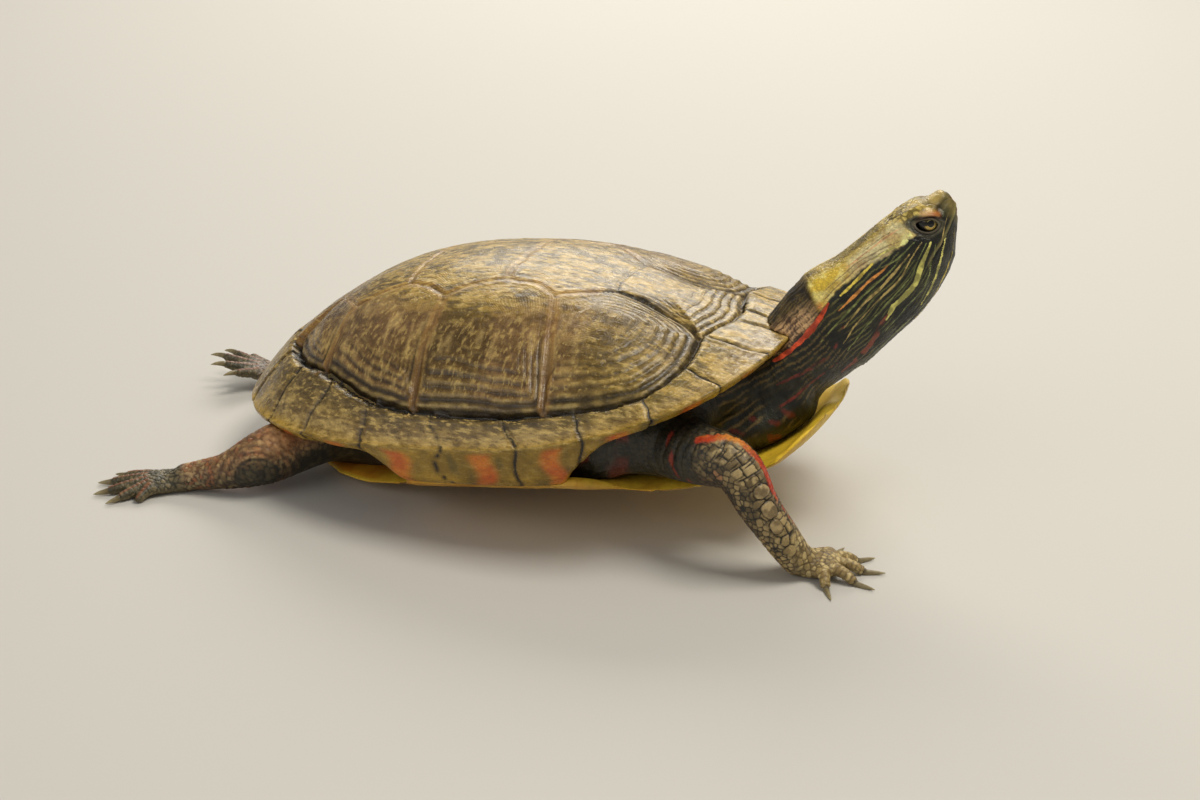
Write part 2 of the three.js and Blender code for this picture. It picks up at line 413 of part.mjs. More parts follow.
// room left for what grows out of the trunk, between the shells
const around = torso(CLEAR + 0.05);
const clear = (m) => biggest(m.subtract(around).subtract(plastronWide).subtract(shellWide));
piece("neck", fromSolid(clear(neckBlank())), SKIN, 0.7);
piece("head", fromSolid(head()), SKIN, 0.6);
for (const [side, s] of [["right", 1], ["left", -1]]) {
  const eye = piece("eye_" + side, new THREE.SphereGeometry(EYE_R, 12, 7), EYE, 0.08);
  eye.position.set(...headPoint(EYE_F, EYE_U, s * EYE_OUT));
}
const TAIL = [
  { at: [-56, 0, 13.5], a: 6.4, b: 5.6, up: [0, 0, 1] }, { at: [-63, -2.0, 10.6], a: 5.0, b: 4.5, up: [0, 0, 1] },
  { at: [-67.5, -6.4, 7.6], a: 3.6, b: 3.3, up: [0, 0, 1] }, { at: [-69, -12.0, 5.0], a: 2.4, b: 2.3, up: [0, 0, 1] },
  { at: [-68, -17.4, 3.4], a: 1.4, b: 1.4, up: [0, 0, 1] }];
piece("tail", fromSolid(clear(solid(limb(TAIL, 0, 4, 7, 10, { round1: 1.8 })))), SKIN, 0.7);

const COUNT = ["first", "second", "third", "fourth", "fifth"];
for (const [name, leg] of Object.entries(legs)) {
  const end = leg.keys.length - 1, [cut] = leg.split, g = 0.03;
  const upper = clear(aboveFloor(solid(limb(leg.keys, 0, cut - g, 5, 12, { round0: 3 }))));
  const footM = aboveFloor(foot(leg));
  const lower = biggest(aboveFloor(solid(limb(leg.keys, cut + g, end, 6, 12))).subtract(palm(leg.palm, CLEAR + 0.05)).subtract(plastronWide).subtract(shellWide));
  piece(name + "_upper", fromSolid(upper), SKIN, 0.7);
  piece(name + "_lower", fromSolid(lower), SKIN, 0.7);
  piece(name.replace("leg", "foot"), fromSolid(biggest(footM)), SKIN, 0.7);
  claws(leg).forEach((c, i) => piece("claw_" + name.replace("leg", "") + "_" + COUNT[i], fromSolid(biggest(aboveFloor(solid(c)))), CLAW, 0.35));
}

// ---------------------------------------------------------------- origin
// Middle of the whole animal's box, on the floor.
group.updateMatrixWorld(true);
const box = new THREE.Box3().setFromObject(group, true);
const centre = box.getCenter(new THREE.Vector3());
group.position.set(-centre.x, -centre.y, -box.min.z);

export default group;
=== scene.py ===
import math

import bpy
import numpy as np
import openvdb
from mathutils import Matrix, Vector
from mathutils.kdtree import KDTree


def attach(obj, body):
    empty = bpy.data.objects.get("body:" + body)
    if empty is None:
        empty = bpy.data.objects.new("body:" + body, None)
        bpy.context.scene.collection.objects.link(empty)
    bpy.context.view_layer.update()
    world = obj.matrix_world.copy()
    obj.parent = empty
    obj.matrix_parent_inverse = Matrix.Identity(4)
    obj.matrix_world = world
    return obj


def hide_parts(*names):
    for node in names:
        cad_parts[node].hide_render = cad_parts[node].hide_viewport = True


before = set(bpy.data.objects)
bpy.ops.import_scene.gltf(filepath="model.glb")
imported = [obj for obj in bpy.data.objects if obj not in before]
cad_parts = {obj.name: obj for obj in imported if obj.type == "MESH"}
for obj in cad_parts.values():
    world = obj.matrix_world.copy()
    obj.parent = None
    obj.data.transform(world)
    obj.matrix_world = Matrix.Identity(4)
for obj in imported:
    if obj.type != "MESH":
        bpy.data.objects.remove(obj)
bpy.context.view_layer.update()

# ------------------------------------------------------------------ sizes
# Millimetres in the floor frame (shell length along X, +Y the animal's left),
# the same sizes as the solids. OFFSET carries them into the row frame.
OFFSET = np.array([-1.1661, -3.0042, 0.0])
CL, HALF_W, DOME_H = 150.0, 56.8, 29.4
RIM_EXP, RIM_TAPER = 2.45, -0.03
RIM_FRONT, RIM_REAR, RIM_SIDE = 8.8, -1.7, -3.0
APEX_X, SHELL_WALL, RIM_LIP = -3.1, 3.6, 2.7
BRIDGE_FRONT, BRIDGE_REAR, BRIDGE_Z = 38.0, -16.0, -15.3
PLASTRON_Z, PLASTRON_FRONT, PLASTRON_REAR, PLASTRON_T = -23.5, 84.5, -67.0, 2.6
PITCH, RIDE, CLEAR = math.radians(8.2), 30.0, 0.3
HEAD_YAW, HEAD_PITCH = math.radians(24), math.radians(38)
HEAD_AT = np.array([100.6, 15.4, 78.1])
EYE_R, EYE_OUT, EYE_F, EYE_U = 3.1, 4.35, 0.0, 0.15


def smooth(a, b, v):
    t = np.clip((np.asarray(v, float) - a) / (b - a), 0, 1)
    return t * t * (3 - 2 * t)


def mix(a, b, t):
    return a + (b - a) * t


def spow(v, e):
    return np.sign(v) * np.abs(v) ** e


def unit(v):
    v = np.asarray(v, float)
    return v / np.maximum(np.linalg.norm(v, axis=-1, keepdims=True), 1e-12)


# ------------------------------------------------------------------ noise
def _hash(i, j, k, seed):
    h = (i.astype(np.uint32) * np.uint32(374761393) + j.astype(np.uint32) * np.uint32(668265263)
         + k.astype(np.uint32) * np.uint32(2147483647 - 1274126177 % 7919) + np.uint32((seed * 974711 + 12345) & 0xFFFFFFFF))
    h = (h ^ (h >> np.uint32(13))) * np.uint32(1274126177)
    h = (h ^ (h >> np.uint32(16))) * np.uint32(2246822519)
    h = h ^ (h >> np.uint32(15))
    return h.astype(np.float64) / 4294967295.0


def vnoise(P, size, seed=0):
    """Smooth value noise, -1 to 1, with features about size mm across."""
    q = np.asarray(P, float) / size
    f = np.floor(q)
    t = q - f
    t = t * t * t * (t * (t * 6 - 15) + 10)
    i = f.astype(np.int64)
    out = np.zeros(len(q))
    for dx in (0, 1):
        for dy in (0, 1):
            for dz in (0, 1):
                w = np.abs(1 - dx - t[:, 0]) * np.abs(1 - dy - t[:, 1]) * np.abs(1 - dz - t[:, 2])
                out += w * _hash(i[:, 0] + dx, i[:, 1] + dy, i[:, 2] + dz, seed)
    return out * 2 - 1


def fbm(P, size, seed=0, octaves=4, gain=0.5):
    out, amp, tot = 0, 1.0, 0
    for o in range(octaves):
        out = out + amp * vnoise(P, size / 2 ** o, seed + 31 * o)
        tot += amp
        amp *= gain
    return out / tot


def worley(P, size, seed=0, jitter=0.75):
    """Distances to the nearest and second nearest cell point, in units of size, and a random value per cell."""
    q = np.asarray(P, float) / size
    f = np.floor(q).astype(np.int64)
    d1 = np.full(len(q), 9.0)
    d2 = np.full(len(q), 9.0)
    cell = np.zeros(len(q))
    for dx in (-1, 0, 1):
        for dy in (-1, 0, 1):
            for dz in (-1, 0, 1):
                c = f + (dx, dy, dz)
                r = [_hash(c[:, 0], c[:, 1], c[:, 2], seed + 7 * m) for m in range(3)]
                d = np.sqrt(sum((c[:, m] + 0.5 + jitter * (r[m] - 0.5) - q[:, m]) ** 2 for m in range(3)))
                near = d < d1
                d2 = np.where(near, d1, np.minimum(d2, d))
                cell = np.where(near, _hash(c[:, 0], c[:, 1], c[:, 2], seed + 99), cell)
                d1 = np.where(near, d, d1)
    return d1, d2, cell


# ------------------------------------------------------------------ shell
def to_floor(p):
    p = np.asarray(p, float)
    c, s = math.cos(PITCH), math.sin(PITCH)
    return np.stack([c * p[..., 0] - s * p[..., 2], p[..., 1], s * p[..., 0] + c * p[..., 2] + RIDE], -1)


def to_shell(p):
    c, s = math.cos(PITCH), math.sin(PITCH)
    x, z = p[..., 0], p[..., 2] - RIDE
    return np.stack([c * x + s * z, p[..., 1], -s * x + c * z], -1)


def by_quarter(t, front, rear, side):
    return front * np.maximum(np.cos(t), 0) ** 2 + rear * np.maximum(-np.cos(t), 0) ** 2 + side * np.sin(t) ** 2


def rim_xy(t):
    e = 2 / RIM_EXP
    x = CL / 2 * spow(np.cos(t), e)
    return x, -HALF_W * spow(np.sin(t), e) * (1 - RIM_TAPER * x / (CL / 2))


def rim_z(t):
    return by_quarter(t, RIM_FRONT, RIM_REAR, RIM_SIDE)


def dome_z(t, r):
    p, k = by_quarter(t, 1.70, 2.22, 2.23), by_quarter(t, 1.18, 0.87, 0.85)
    return rim_z(t) * r * r + DOME_H * np.maximum(0, 1 - np.maximum(r, 0) ** p) ** k


def at_share(t, r, z):
    x, y = rim_xy(t)
    return np.stack([APEX_X + (x - APEX_X) * r, y * r, z + 0 * x], -1)


def dome(t, r):
    return at_share(t, r, dome_z(t, r))


def bridge_weight(t):
    x = rim_xy(t)[0]
    return smooth(BRIDGE_REAR - 9, BRIDGE_REAR + 4, x) * (1 - smooth(BRIDGE_FRONT - 6, BRIDGE_FRONT + 8, x))


def under_keys(t):
    """(reach, height) of the lower rim of the carapace, six stations from the edge inwards."""
    w, z0 = bridge_weight(t), rim_z(t)
    d = lambda r, drop: (r, dome_z(t, r) - drop)
    free = [(0.997, z0 - 1.3), (0.975, z0 - RIM_LIP), (0.93, z0 - RIM_LIP - 0.2), d(0.86, 4.4), d(0.80, 4.2), d(0.76, 4.0)]
    tied = [(0.999, z0 - 2.6), (0.985, z0 - 6.2), (0.955, z0 - 10.2), (0.895, BRIDGE_Z), (0.835, BRIDGE_Z + 0.3), (0.835, z0 - 5)]
    return [(mix(a[0], b[0], w), mix(a[1], b[1], w)) for a, b in zip(free, tied)]


def plastron_half(x):
    lobe_f = 35.2 - 7 * smooth(44, 72, x)
    lobe_r = 37.5 - 5 * smooth(-30, -48, x)
    lobe = mix(lobe_r, lobe_f, smooth(-20, 30, x))
    bridge = 14.2 * smooth(BRIDGE_REAR - 7, BRIDGE_REAR + 5, x) * (1 - smooth(BRIDGE_FRONT - 6, BRIDGE_FRONT + 6, x))
    nose = np.sqrt(np.clip((PLASTRON_FRONT - x) / 7.6, 0, 1))
    stern = np.sqrt(np.clip((x - PLASTRON_REAR) / 24, 0, 1))
    return np.maximum(0.8, (lobe + bridge) * (0.25 + 0.75 * nose) * (0.12 + 0.88 * stern))


def plastron_under(x, v):
    b = smooth(BRIDGE_REAR - 7, BRIDGE_REAR + 5, x) * (1 - smooth(BRIDGE_FRONT - 6, BRIDGE_FRONT + 6, x))
    mid = PLASTRON_Z + 10.2 * np.clip((x - 45) / (PLASTRON_FRONT - 45), 0, 1) ** 3.7 + 2.6 * np.clip((-30 - x) / 37, 0, 1) ** 1.5
    lift = mix(1.0 + 1.2 * smooth(45, PLASTRON_FRONT, x), -CLEAR + BRIDGE_Z - PLASTRON_Z, b)
    return mid + lift * np.abs(v) ** mix(3.5, 4.2, b)


# ------------------------------------------------------------------ limbs
HEAD_F = np.array([math.cos(HEAD_YAW) * math.cos(HEAD_PITCH), math.sin(HEAD_YAW) * math.cos(HEAD_PITCH), math.sin(HEAD_PITCH)])
HEAD_U = np.array([-math.cos(HEAD_YAW) * math.sin(HEAD_PITCH), -math.sin(HEAD_YAW) * math.sin(HEAD_PITCH), math.cos(HEAD_PITCH)])
HEAD_R = np.array([math.sin(HEAD_YAW), -math.cos(HEAD_YAW), 0.0])


def head_point(f, u, r):
    f, u, r = (np.asarray(v, float)[..., None] for v in (f, u, r))
    return HEAD_AT + HEAD_F * f + HEAD_U * u + HEAD_R * r


def head_frame(P):
    q = np.asarray(P, float) - HEAD_AT
    return q @ HEAD_F, q @ HEAD_U, q @ HEAD_R


def cubic(p0, p1, p2, p3, t):
    return 0.5 * (2 * p1 + (p2 - p0) * t + (2 * p0 - 5 * p1 + 4 * p2 - p3) * t * t + (3 * p1 - p0 - 3 * p2 + p3) * t * t * t)


def stations(keys, us):
    """Catmull-Rom rows (at 3, a, b, up 3) at the parameters us, from rows of keys."""
    K = np.array([list(k[0]) + [k[1], k[2]] + list(k[3]) for k in keys], float)
    us = np.asarray(us, float)
    i = np.clip(np.floor(us).astype(int), 0, len(K) - 2)
    t = (us - i)[:, None]
    n = len(K) - 1
    return cubic(K[np.clip(i - 1, 0, n)], K[i], K[i + 1], K[np.clip(i + 2, 0, n)], t)


def frames(S):
    """Direction, up and side unit vectors along rows of stations."""
    d = unit(np.gradient(S[:, :3], axis=0))
    up = S[:, 5:8] - d * np.sum(S[:, 5:8] * d, axis=1, keepdims=True)
    up = unit(up)
    return d, up, np.cross(d, up)


PROFILE = np.array([
    (-34, 4.9, -22.4, 11.4), (-24, 4.3, -21.1, 10.6), (-15, 4.7, -19.9, 10.2), (-8, 5.2, -17.7, 9.7), (-3, 5.2, -15.3, 8.6),
    (0.5, 4.8, -12.8, 7.2), (2.7, 4.0, -9.9, 6.0), (5.0, 3.1, -7.2, 4.7), (6.6, 2.5, -5.2, 3.5), (7.6, 1.6, -3.6, 2.2)])


def profile_at(f):
    f = np.atleast_1d(np.asarray(f, float))
    n = len(PROFILE) - 1
    i = np.clip(np.searchsorted(PROFILE[:, 0], f, side="left") - 1, 0, n - 1)
    A, B = PROFILE[i], PROFILE[i + 1]
    t = np.clip((f - A[:, 0]) / (B[:, 0] - A[:, 0]), 0, 1)[:, None]
    return cubic(PROFILE[np.clip(i - 1, 0, n)], A, B, PROFILE[np.clip(i + 2, 0, n)], t)[:, 1:]


def head_ring(f, n):
    top, low, w0 = profile_at(f)[0]
    t = np.arange(n) / n * 2 * math.pi
    s = np.sin(t)
    w = w0 * (1 - 0.20 * smooth(0, -1, s) * smooth(-20, 0, f))
    return head_point(f, (top + low) / 2 + (top - low) / 2 * spow(s, 0.92), w * spow(np.cos(t), 0.92))


Z = (0, 0, 1)
NECK_ROOT = [((52, -2, 33), 15, 10.5, (0.05, 0, 1)), ((62, -0.5, 34.6), 14, 10.4, (-0.25, -0.02, 1)),
             ((71.5, 2.4, 40.2), 12.6, 11.4, (-0.55, -0.14, 0.9)), (tuple(head_point(-34, -8.75, 0)), 11.4, 13.65, tuple(HEAD_U))]
BREAST = [((48, -2, 23), 20, 8, Z), ((58, -2.5, 23.5), 19, 8.5, Z), ((67, -3, 26), 14.5, 7.2, (-0.3, 0, 1)), ((75.5, 0, 31.5), 9.5, 6.2, (-0.6, 0, 0.9))]
TAIL = [((-56, 0, 13.5), 6.4, 5.6, Z), ((-63, -2.0, 10.6), 5.0, 4.5, Z), ((-67.5, -6.4, 7.6), 3.6, 3.3, Z),
        ((-69, -12.0, 5.0), 2.4, 2.3, Z), ((-68, -17.4, 3.4), 1.4, 1.4, Z)]
LEGS = {
    "foreleg_right": dict(
        keys=[((47, -27, 25), 8.5, 8.5, Z), ((61, -35.5, 27.5), 7.6, 7.6, (0, 0.3, 1)), ((72, -39.5, 27.5), 6.3, 6.2, (0.7, 0, 0.9)),
              ((78.2, -39.8, 18.8), 5.3, 5.0, (1, 0, 0.3)), ((83.6, -38.6, 11.2), 5.0, 4.4, (1, 0, 0.5)), ((87.0, -36.0, 5.0), 4.9, 3.9, (0.7, 0, 0.8))],
        palm=dict(at=(90.8, -33.4, 2.8), heading=20, len=6.4, wide=5.8, thick=3.2, tilt=0),
        toes=[(-80, 3.0, 3.4), (-30, 5.0, 4.2), (0, 5.8, 4.6), (26, 5.6, 4.4), (58, 3.6, 3.8)], fifth=None, toe_r=1.4, claw=5.4, web=False),
    "foreleg_left": dict(
        keys=[((43, 28, 24), 8.5, 8.5, Z), ((50, 38, 25), 7.4, 7.4, (0, -0.3, 1)), ((53.5, 47.5, 24), 6.2, 6.1, (0.3, 0.6, 0.9)),
              ((52.5, 52.6, 17), 5.3, 5.0, (0.3, 1, 0.3)), ((50.8, 54.6, 10.0), 5.0, 4.4, (0.4, 1, 0.4)), ((50.2, 56.0, 5.0), 4.9, 3.9, (0.2, 0.7, 0.8))],
        palm=dict(at=(51.0, 59.6, 2.8), heading=72, len=6.4, wide=5.8, thick=3.2, tilt=0),
        toes=[(66, 3.0, 3.4), (28, 5.0, 4.2), (0, 5.8, 4.6), (-26, 5.6, 4.4), (-58, 3.6, 3.8)], fifth=None, toe_r=1.4, claw=5.4, web=False),
    "hindleg_right": dict(
        keys=[((-38, -24, 15.5), 7.6, 8.4, Z), ((-48, -37.5, 12.2), 7.2, 7.9, Z), ((-55.5, -46, 9.2), 6.7, 7.0, Z), ((-63.5, -49.8, 5.9), 5.0, 4.7, Z),
              ((-70.0, -51.6, 4.3), 4.3, 3.8, Z), ((-75.0, -53.2, 3.3), 4.3, 3.1, Z)],
        palm=dict(at=(-79.4, -55.2, 2.1), heading=211, len=7.0, wide=6.0, thick=2.4, tilt=0),
        toes=[(-34, 5.4, 4.2), (-13, 7.0, 5.0), (8, 7.4, 5.2), (29, 6.4, 4.6)], fifth=(50, 4.0, 3.6), toe_r=1.35, claw=3.8, web=True),
    "hindleg_left": dict(
        keys=[((-36, 24, 16), 9, 9, Z), ((-47, 33, 12.6), 8.6, 8.4, Z), ((-58, 35.5, 9.2), 7.0, 7.2, Z), ((-69, 31.0, 6.6), 5.3, 5.4, Z),
              ((-78, 25.0, 4.8), 4.5, 4.2, Z), ((-84.6, 20.6, 3.7), 4.3, 3.4, Z)],
        palm=dict(at=(-89.0, 17.6, 3.5), heading=204, len=7.0, wide=6.0, thick=2.5, tilt=18),
        toes=[(34, 5.4, 4.2), (13, 7.0, 5.0), (-8, 7.4, 5.2), (-29, 6.4, 4.6)], fifth=(-50, 4.0, 3.6), toe_r=1.35, claw=3.8, web=True),
}


def foot_matrix(p):
    h, t = math.radians(p["heading"]), -math.radians(p["tilt"])
    rz = np.array([[math.cos(h), -math.sin(h), 0], [math.sin(h), math.cos(h), 0], [0, 0, 1]])
    ry = np.array([[math.cos(t), 0, math.sin(t)], [0, 1, 0], [-math.sin(t), 0, math.cos(t)]])
    return rz @ ry, np.array(p["at"], float)


def place_foot(p, P):
    M, o = foot_matrix(p)
    return np.asarray(P, float) @ M.T + o


def in_foot(p, P):
    M, o = foot_matrix(p)
    return (np.asarray(P, float) - o) @ M


def toe_keys(t, p, r):
    deg, reach, ln = t
    d = math.radians(deg)
    c, s = math.cos(d), math.sin(d)
    x0, y0 = p["len"] * 0.25, s * p["wide"] * 0.45
    drop = 0 if p["tilt"] else -1
    return [((x0, y0, 0.2), r * 1.25, r * 1.1, Z),
            ((x0 + c * reach * 0.62, y0 + s * reach * 0.62, 0.35), r * 1.12, r * 1.05, Z),
            ((x0 + c * (reach + ln * 0.35), y0 + s * (reach + ln * 0.35), 0.1 + drop * 0.35), r, r * 0.98, Z),
            ((x0 + c * (reach + ln), y0 + s * (reach + ln), drop * (p["at"][2] - r) * 1.25), r * 0.82, r * 0.82, Z)]


def palm_keys(p):
    return [((-p["len"] * 0.75, 0, 0.3), p["wide"] * 0.62, p["thick"] * 1.02, Z), ((0, 0, 0), p["wide"] * 0.92, p["thick"] * 0.95, Z),
            ((p["len"] * 0.62, 0, -0.1), p["wide"] * 0.95, p["thick"] * 0.68, Z)]


def claw_keys(leg, t):
    p, k = leg["palm"], toe_keys(t, leg["palm"], leg["toe_r"])
    e, f = np.array(k[3][0]), np.array(k[2][0])
    d = unit(e - f)
    r, L = leg["toe_r"] * 0.62, leg["claw"]
    hd = unit(np.array([d[0], d[1], 0]))
    near = 0.9
    along = lambda s: CLEAR + 0.06 + min(s, near)
    beyond = lambda s: max(0, s - near)
    low = 0.9 if p["tilt"] else max(0, e[2] + d[2] * along(near) + p["at"][2] - 0.62)
    return [(tuple(e + d * along(s) + hd * beyond(s) - np.array([0, 0, q * low])), r * w * 0.85, r * w, Z)
            for s, q, w in ((0, 0, 1), (near, 0, 0.9), (L * 0.65, 0.4, 0.6), (L, 1, 0.2))]


# A closed tube through rings, as (points, triangles); ends close on one point.
def tube(rings):
    n = len(rings[0])
    pts = np.concatenate([np.asarray(r, float).reshape(n, 3) for r in rings])
    tri = []
    a = np.arange(n)
    b = (a + 1) % n
    for k in range(len(rings) - 1):
        s, e = k * n, (k + 1) * n
        tri.append(np.stack([s + a, e + a, e + b], 1))
        tri.append(np.stack([s + a, e + b, s + b], 1))
    c0, c1 = len(pts), len(pts) + 1
    pts = np.vstack([pts, rings[0].mean(0), rings[-1].mean(0)])
    tri.append(np.stack([np.full(n, c0), a, b], 1))
    e = (len(rings) - 1) * n
    tri.append(np.stack([np.full(n, c1), e + b, e + a], 1))
    return pts, np.concatenate(tri)


def limb_rings(keys, u0, u1, steps, sides, round0=0.0, round1=0.0):
    """Rings of an elliptic limb between two parameters, with rounded ends."""
    us = np.linspace(u0, u1, steps)
    S = stations(keys, us)
    d, up, side = frames(S)
    t = np.arange(sides) / sides * 2 * math.pi
    cs, sn = np.cos(t)[:, None], np.sin(t)[:, None]
    ring = lambda c, a, b, u, s: c + s * a * cs + u * b * sn
    rings = []
    caps = np.linspace(0, 1, 7)[1:]
    if round0:
        for f in caps[::-1]:
            k = math.cos(f * math.pi / 2) + 1e-3
            rings.append(ring(S[0, :3] - d[0] * round0 * math.sin(f * math.pi / 2), S[0, 3] * k, S[0, 4] * k, up[0], side[0]))
    for i in range(steps):
        rings.append(ring(S[i, :3], S[i, 3], S[i, 4], up[i], side[i]))
    if round1:
        for f in caps:
            k = math.cos(f * math.pi / 2) + 1e-3
            rings.append(ring(S[-1, :3] + d[-1] * round1 * math.sin(f * math.pi / 2), S[-1, 3] * k, S[-1, 4] * k, up[-1], side[-1]))
    return rings
# ------------------------------------------------------------------ camera
# Azimuth 23.9 degrees, 22 degrees above the horizon, 600 mm from the shell's middle.
def make_camera():
    h, e = math.radians(23.9), math.radians(22.0)
    fwd = Vector((-math.sin(h) * math.cos(e), math.cos(h) * math.cos(e), -math.sin(e)))
    right = Vector((math.cos(h), math.sin(h), 0))
    up = right.cross(fwd)
    at = Vector((OFFSET[0], OFFSET[1], 30.0)) / 1000 - fwd * 0.6
    axis = (fwd * 2256 + right * 71.9 + up * (-44.0)).normalized()
    back = -axis
    side = up.cross(back).normalized()
    top = back.cross(side)
    cam = bpy.data.cameras.new("camera")
    cam.sensor_width = 36.0
    cam.lens = 2256 / 1200 * 36.0
    cam.clip_start, cam.clip_end = 0.01, 50.0
    o = bpy.data.objects.new("camera", cam)
    m = Matrix((side, top, back)).transposed().to_4x4()
    m.translation = at
    o.matrix_world = m
    bpy.context.scene.collection.objects.link(o)
    bpy.context.scene.camera = o


make_camera()

# ------------------------------------------------------------------ scutes
# Seams of the carapace seen from above, right half, in the shell frame: x, distance from the midline.
SULCUS = [(60.9, 0), (61.0, 3.6), (59.0, 10.5), (57.4, 17.0), (57.9, 24), (57.0, 31.0), (54.4, 37.4), (50.2, 42.5), (43.5, 46.6), (34.7, 49.5), (26.6, 51.2),
          (16.2, 52.6), (6, 52.7), (-2.8, 52.3), (-12, 51.5), (-20.8, 49.6), (-28, 46.6), (-34, 43.2), (-40.5, 39.2), (-48.5, 34.4), (-54.2, 28.5), (-57.6, 21.5),
          (-60.3, 12), (-61.6, 0)]
V_LINES = [
    [(31.6, 0), (31.8, 5), (33.0, 10.4)], [(4.6, 0), (5.0, 8), (5.6, 16.6)], [(-23.6, 0), (-23.4, 8), (-23.0, 16.8)], [(-48.6, 0), (-48.3, 5), (-47.8, 9.6)],
    [(57.4, 17.0), (53.5, 13.2), (49, 11.6), (43.4, 10.3), (38, 9.8), (33.0, 10.4)],
    [(33.0, 10.4), (26.5, 16.2), (20.4, 20.8)], [(20.4, 20.8), (14.7, 17.3), (5.6, 16.6)],
    [(5.6, 16.6), (-3, 19.7), (-9.2, 24.1)], [(-9.2, 24.1), (-16, 19.4), (-23.0, 16.8)],
    [(-23.0, 16.8), (-30, 18.6), (-36.6, 21.4)], [(-36.6, 21.4), (-42, 15.2), (-47.8, 9.6)],
    [(-47.8, 9.6), (-52.5, 15), (-57.6, 21.5)]]
C_LINES = [[(20.4, 20.8), (23.0, 30), (24.6, 37.8), (26.0, 45), (26.6, 51.2)], [(-9.2, 24.1), (-8.9, 32.8), (-9.6, 40.9), (-9.6, 47), (-9.0, 51.9)],
           [(-36.6, 21.4), (-38.5, 30), (-40.5, 39.2)]]
MARGINAL_RIM = np.radians([1.8, 12.5, 30.0, 49.0, 64.8, 78.0, 90.0, 103.2, 119.0, 133.2, 150.5, 168.0])
MARGINAL_TOP = [(61.0, 3.6), (57.4, 17.0), (57.0, 31.0), (50.2, 42.5), (34.7, 49.5), (16.2, 52.6), (-2.8, 52.3), (-20.8, 49.6), (-34, 43.2), (-47.5, 35.2), (-55.8, 26), (-60.0, 13.2)]
SCUTES = [  # areola, outline
    ("v1", (41, 0), [(31.6, 0), (31.8, 5), (33.0, 10.4), (38, 9.8), (43.4, 10.3), (49, 11.6), (53.5, 13.2), (57.4, 17.0), (59.0, 10.5), (61.0, 3.6), (60.9, 0)]),
    ("v2", (13, 0), [(4.6, 0), (5.0, 8), (5.6, 16.6), (14.7, 17.3), (20.4, 20.8), (26.5, 16.2), (33.0, 10.4), (31.8, 5), (31.6, 0)]),
    ("v3", (-13, 0), [(-23.6, 0), (-23.4, 8), (-23.0, 16.8), (-16, 19.4), (-9.2, 24.1), (-3, 19.7), (5.6, 16.6), (5.0, 8), (4.6, 0)]),
    ("v4", (-39, 0), [(-48.6, 0), (-48.3, 5), (-47.8, 9.6), (-42, 15.2), (-36.6, 21.4), (-30, 18.6), (-23.0, 16.8), (-23.4, 8), (-23.6, 0)]),
    ("v5", (-54, 0), [(-61.6, 0), (-60.3, 12), (-57.6, 21.5), (-52.5, 15), (-47.8, 9.6), (-48.3, 5), (-48.6, 0)]),
    ("c1", (29, 24), [(20.4, 20.8), (26.5, 16.2), (33.0, 10.4), (38, 9.8), (43.4, 10.3), (49, 11.6), (53.5, 13.2), (57.4, 17.0), (57.9, 24), (57.0, 31.0),
                      (54.4, 37.4), (50.2, 42.5), (43.5, 46.6), (34.7, 49.5), (26.6, 51.2), (26.0, 45), (24.6, 37.8), (23.0, 30)]),
    ("c2", (0, 27), [(-9.2, 24.1), (-3, 19.7), (5.6, 16.6), (14.7, 17.3), (20.4, 20.8), (23.0, 30), (24.6, 37.8), (26.0, 45), (26.6, 51.2), (16.2, 52.6), (6, 52.7),
                     (-2.8, 52.3), (-9.0, 51.9), (-9.6, 47), (-9.6, 40.9), (-8.9, 32.8)]),
    ("c3", (-27, 25), [(-36.6, 21.4), (-30, 18.6), (-23.0, 16.8), (-16, 19.4), (-9.2, 24.1), (-8.9, 32.8), (-9.6, 40.9), (-9.6, 47), (-9.0, 51.9), (-20.8, 49.6),
                       (-28, 46.6), (-34, 43.2), (-40.5, 39.2), (-38.5, 30)]),
    ("c4", (-47, 21), [(-57.6, 21.5), (-52.5, 15), (-47.8, 9.6), (-42, 15.2), (-36.6, 21.4), (-38.5, 30), (-40.5, 39.2), (-48.5, 34.4), (-54.2, 28.5)])]


def plan_to_tr(x, y):
    """Angle and reach on the dome of a point seen from above, y measured away from the midline."""
    T = np.linspace(0, math.pi, 4001)
    xr, yr = rim_xy(T)
    A = np.unwrap(np.arctan2(-yr, xr - APEX_X))
    t = np.interp(np.arctan2(y, np.asarray(x, float) - APEX_X), A, T)
    xr, yr = rim_xy(t)
    return t, np.hypot(x - APEX_X, y) / np.hypot(xr - APEX_X, yr)


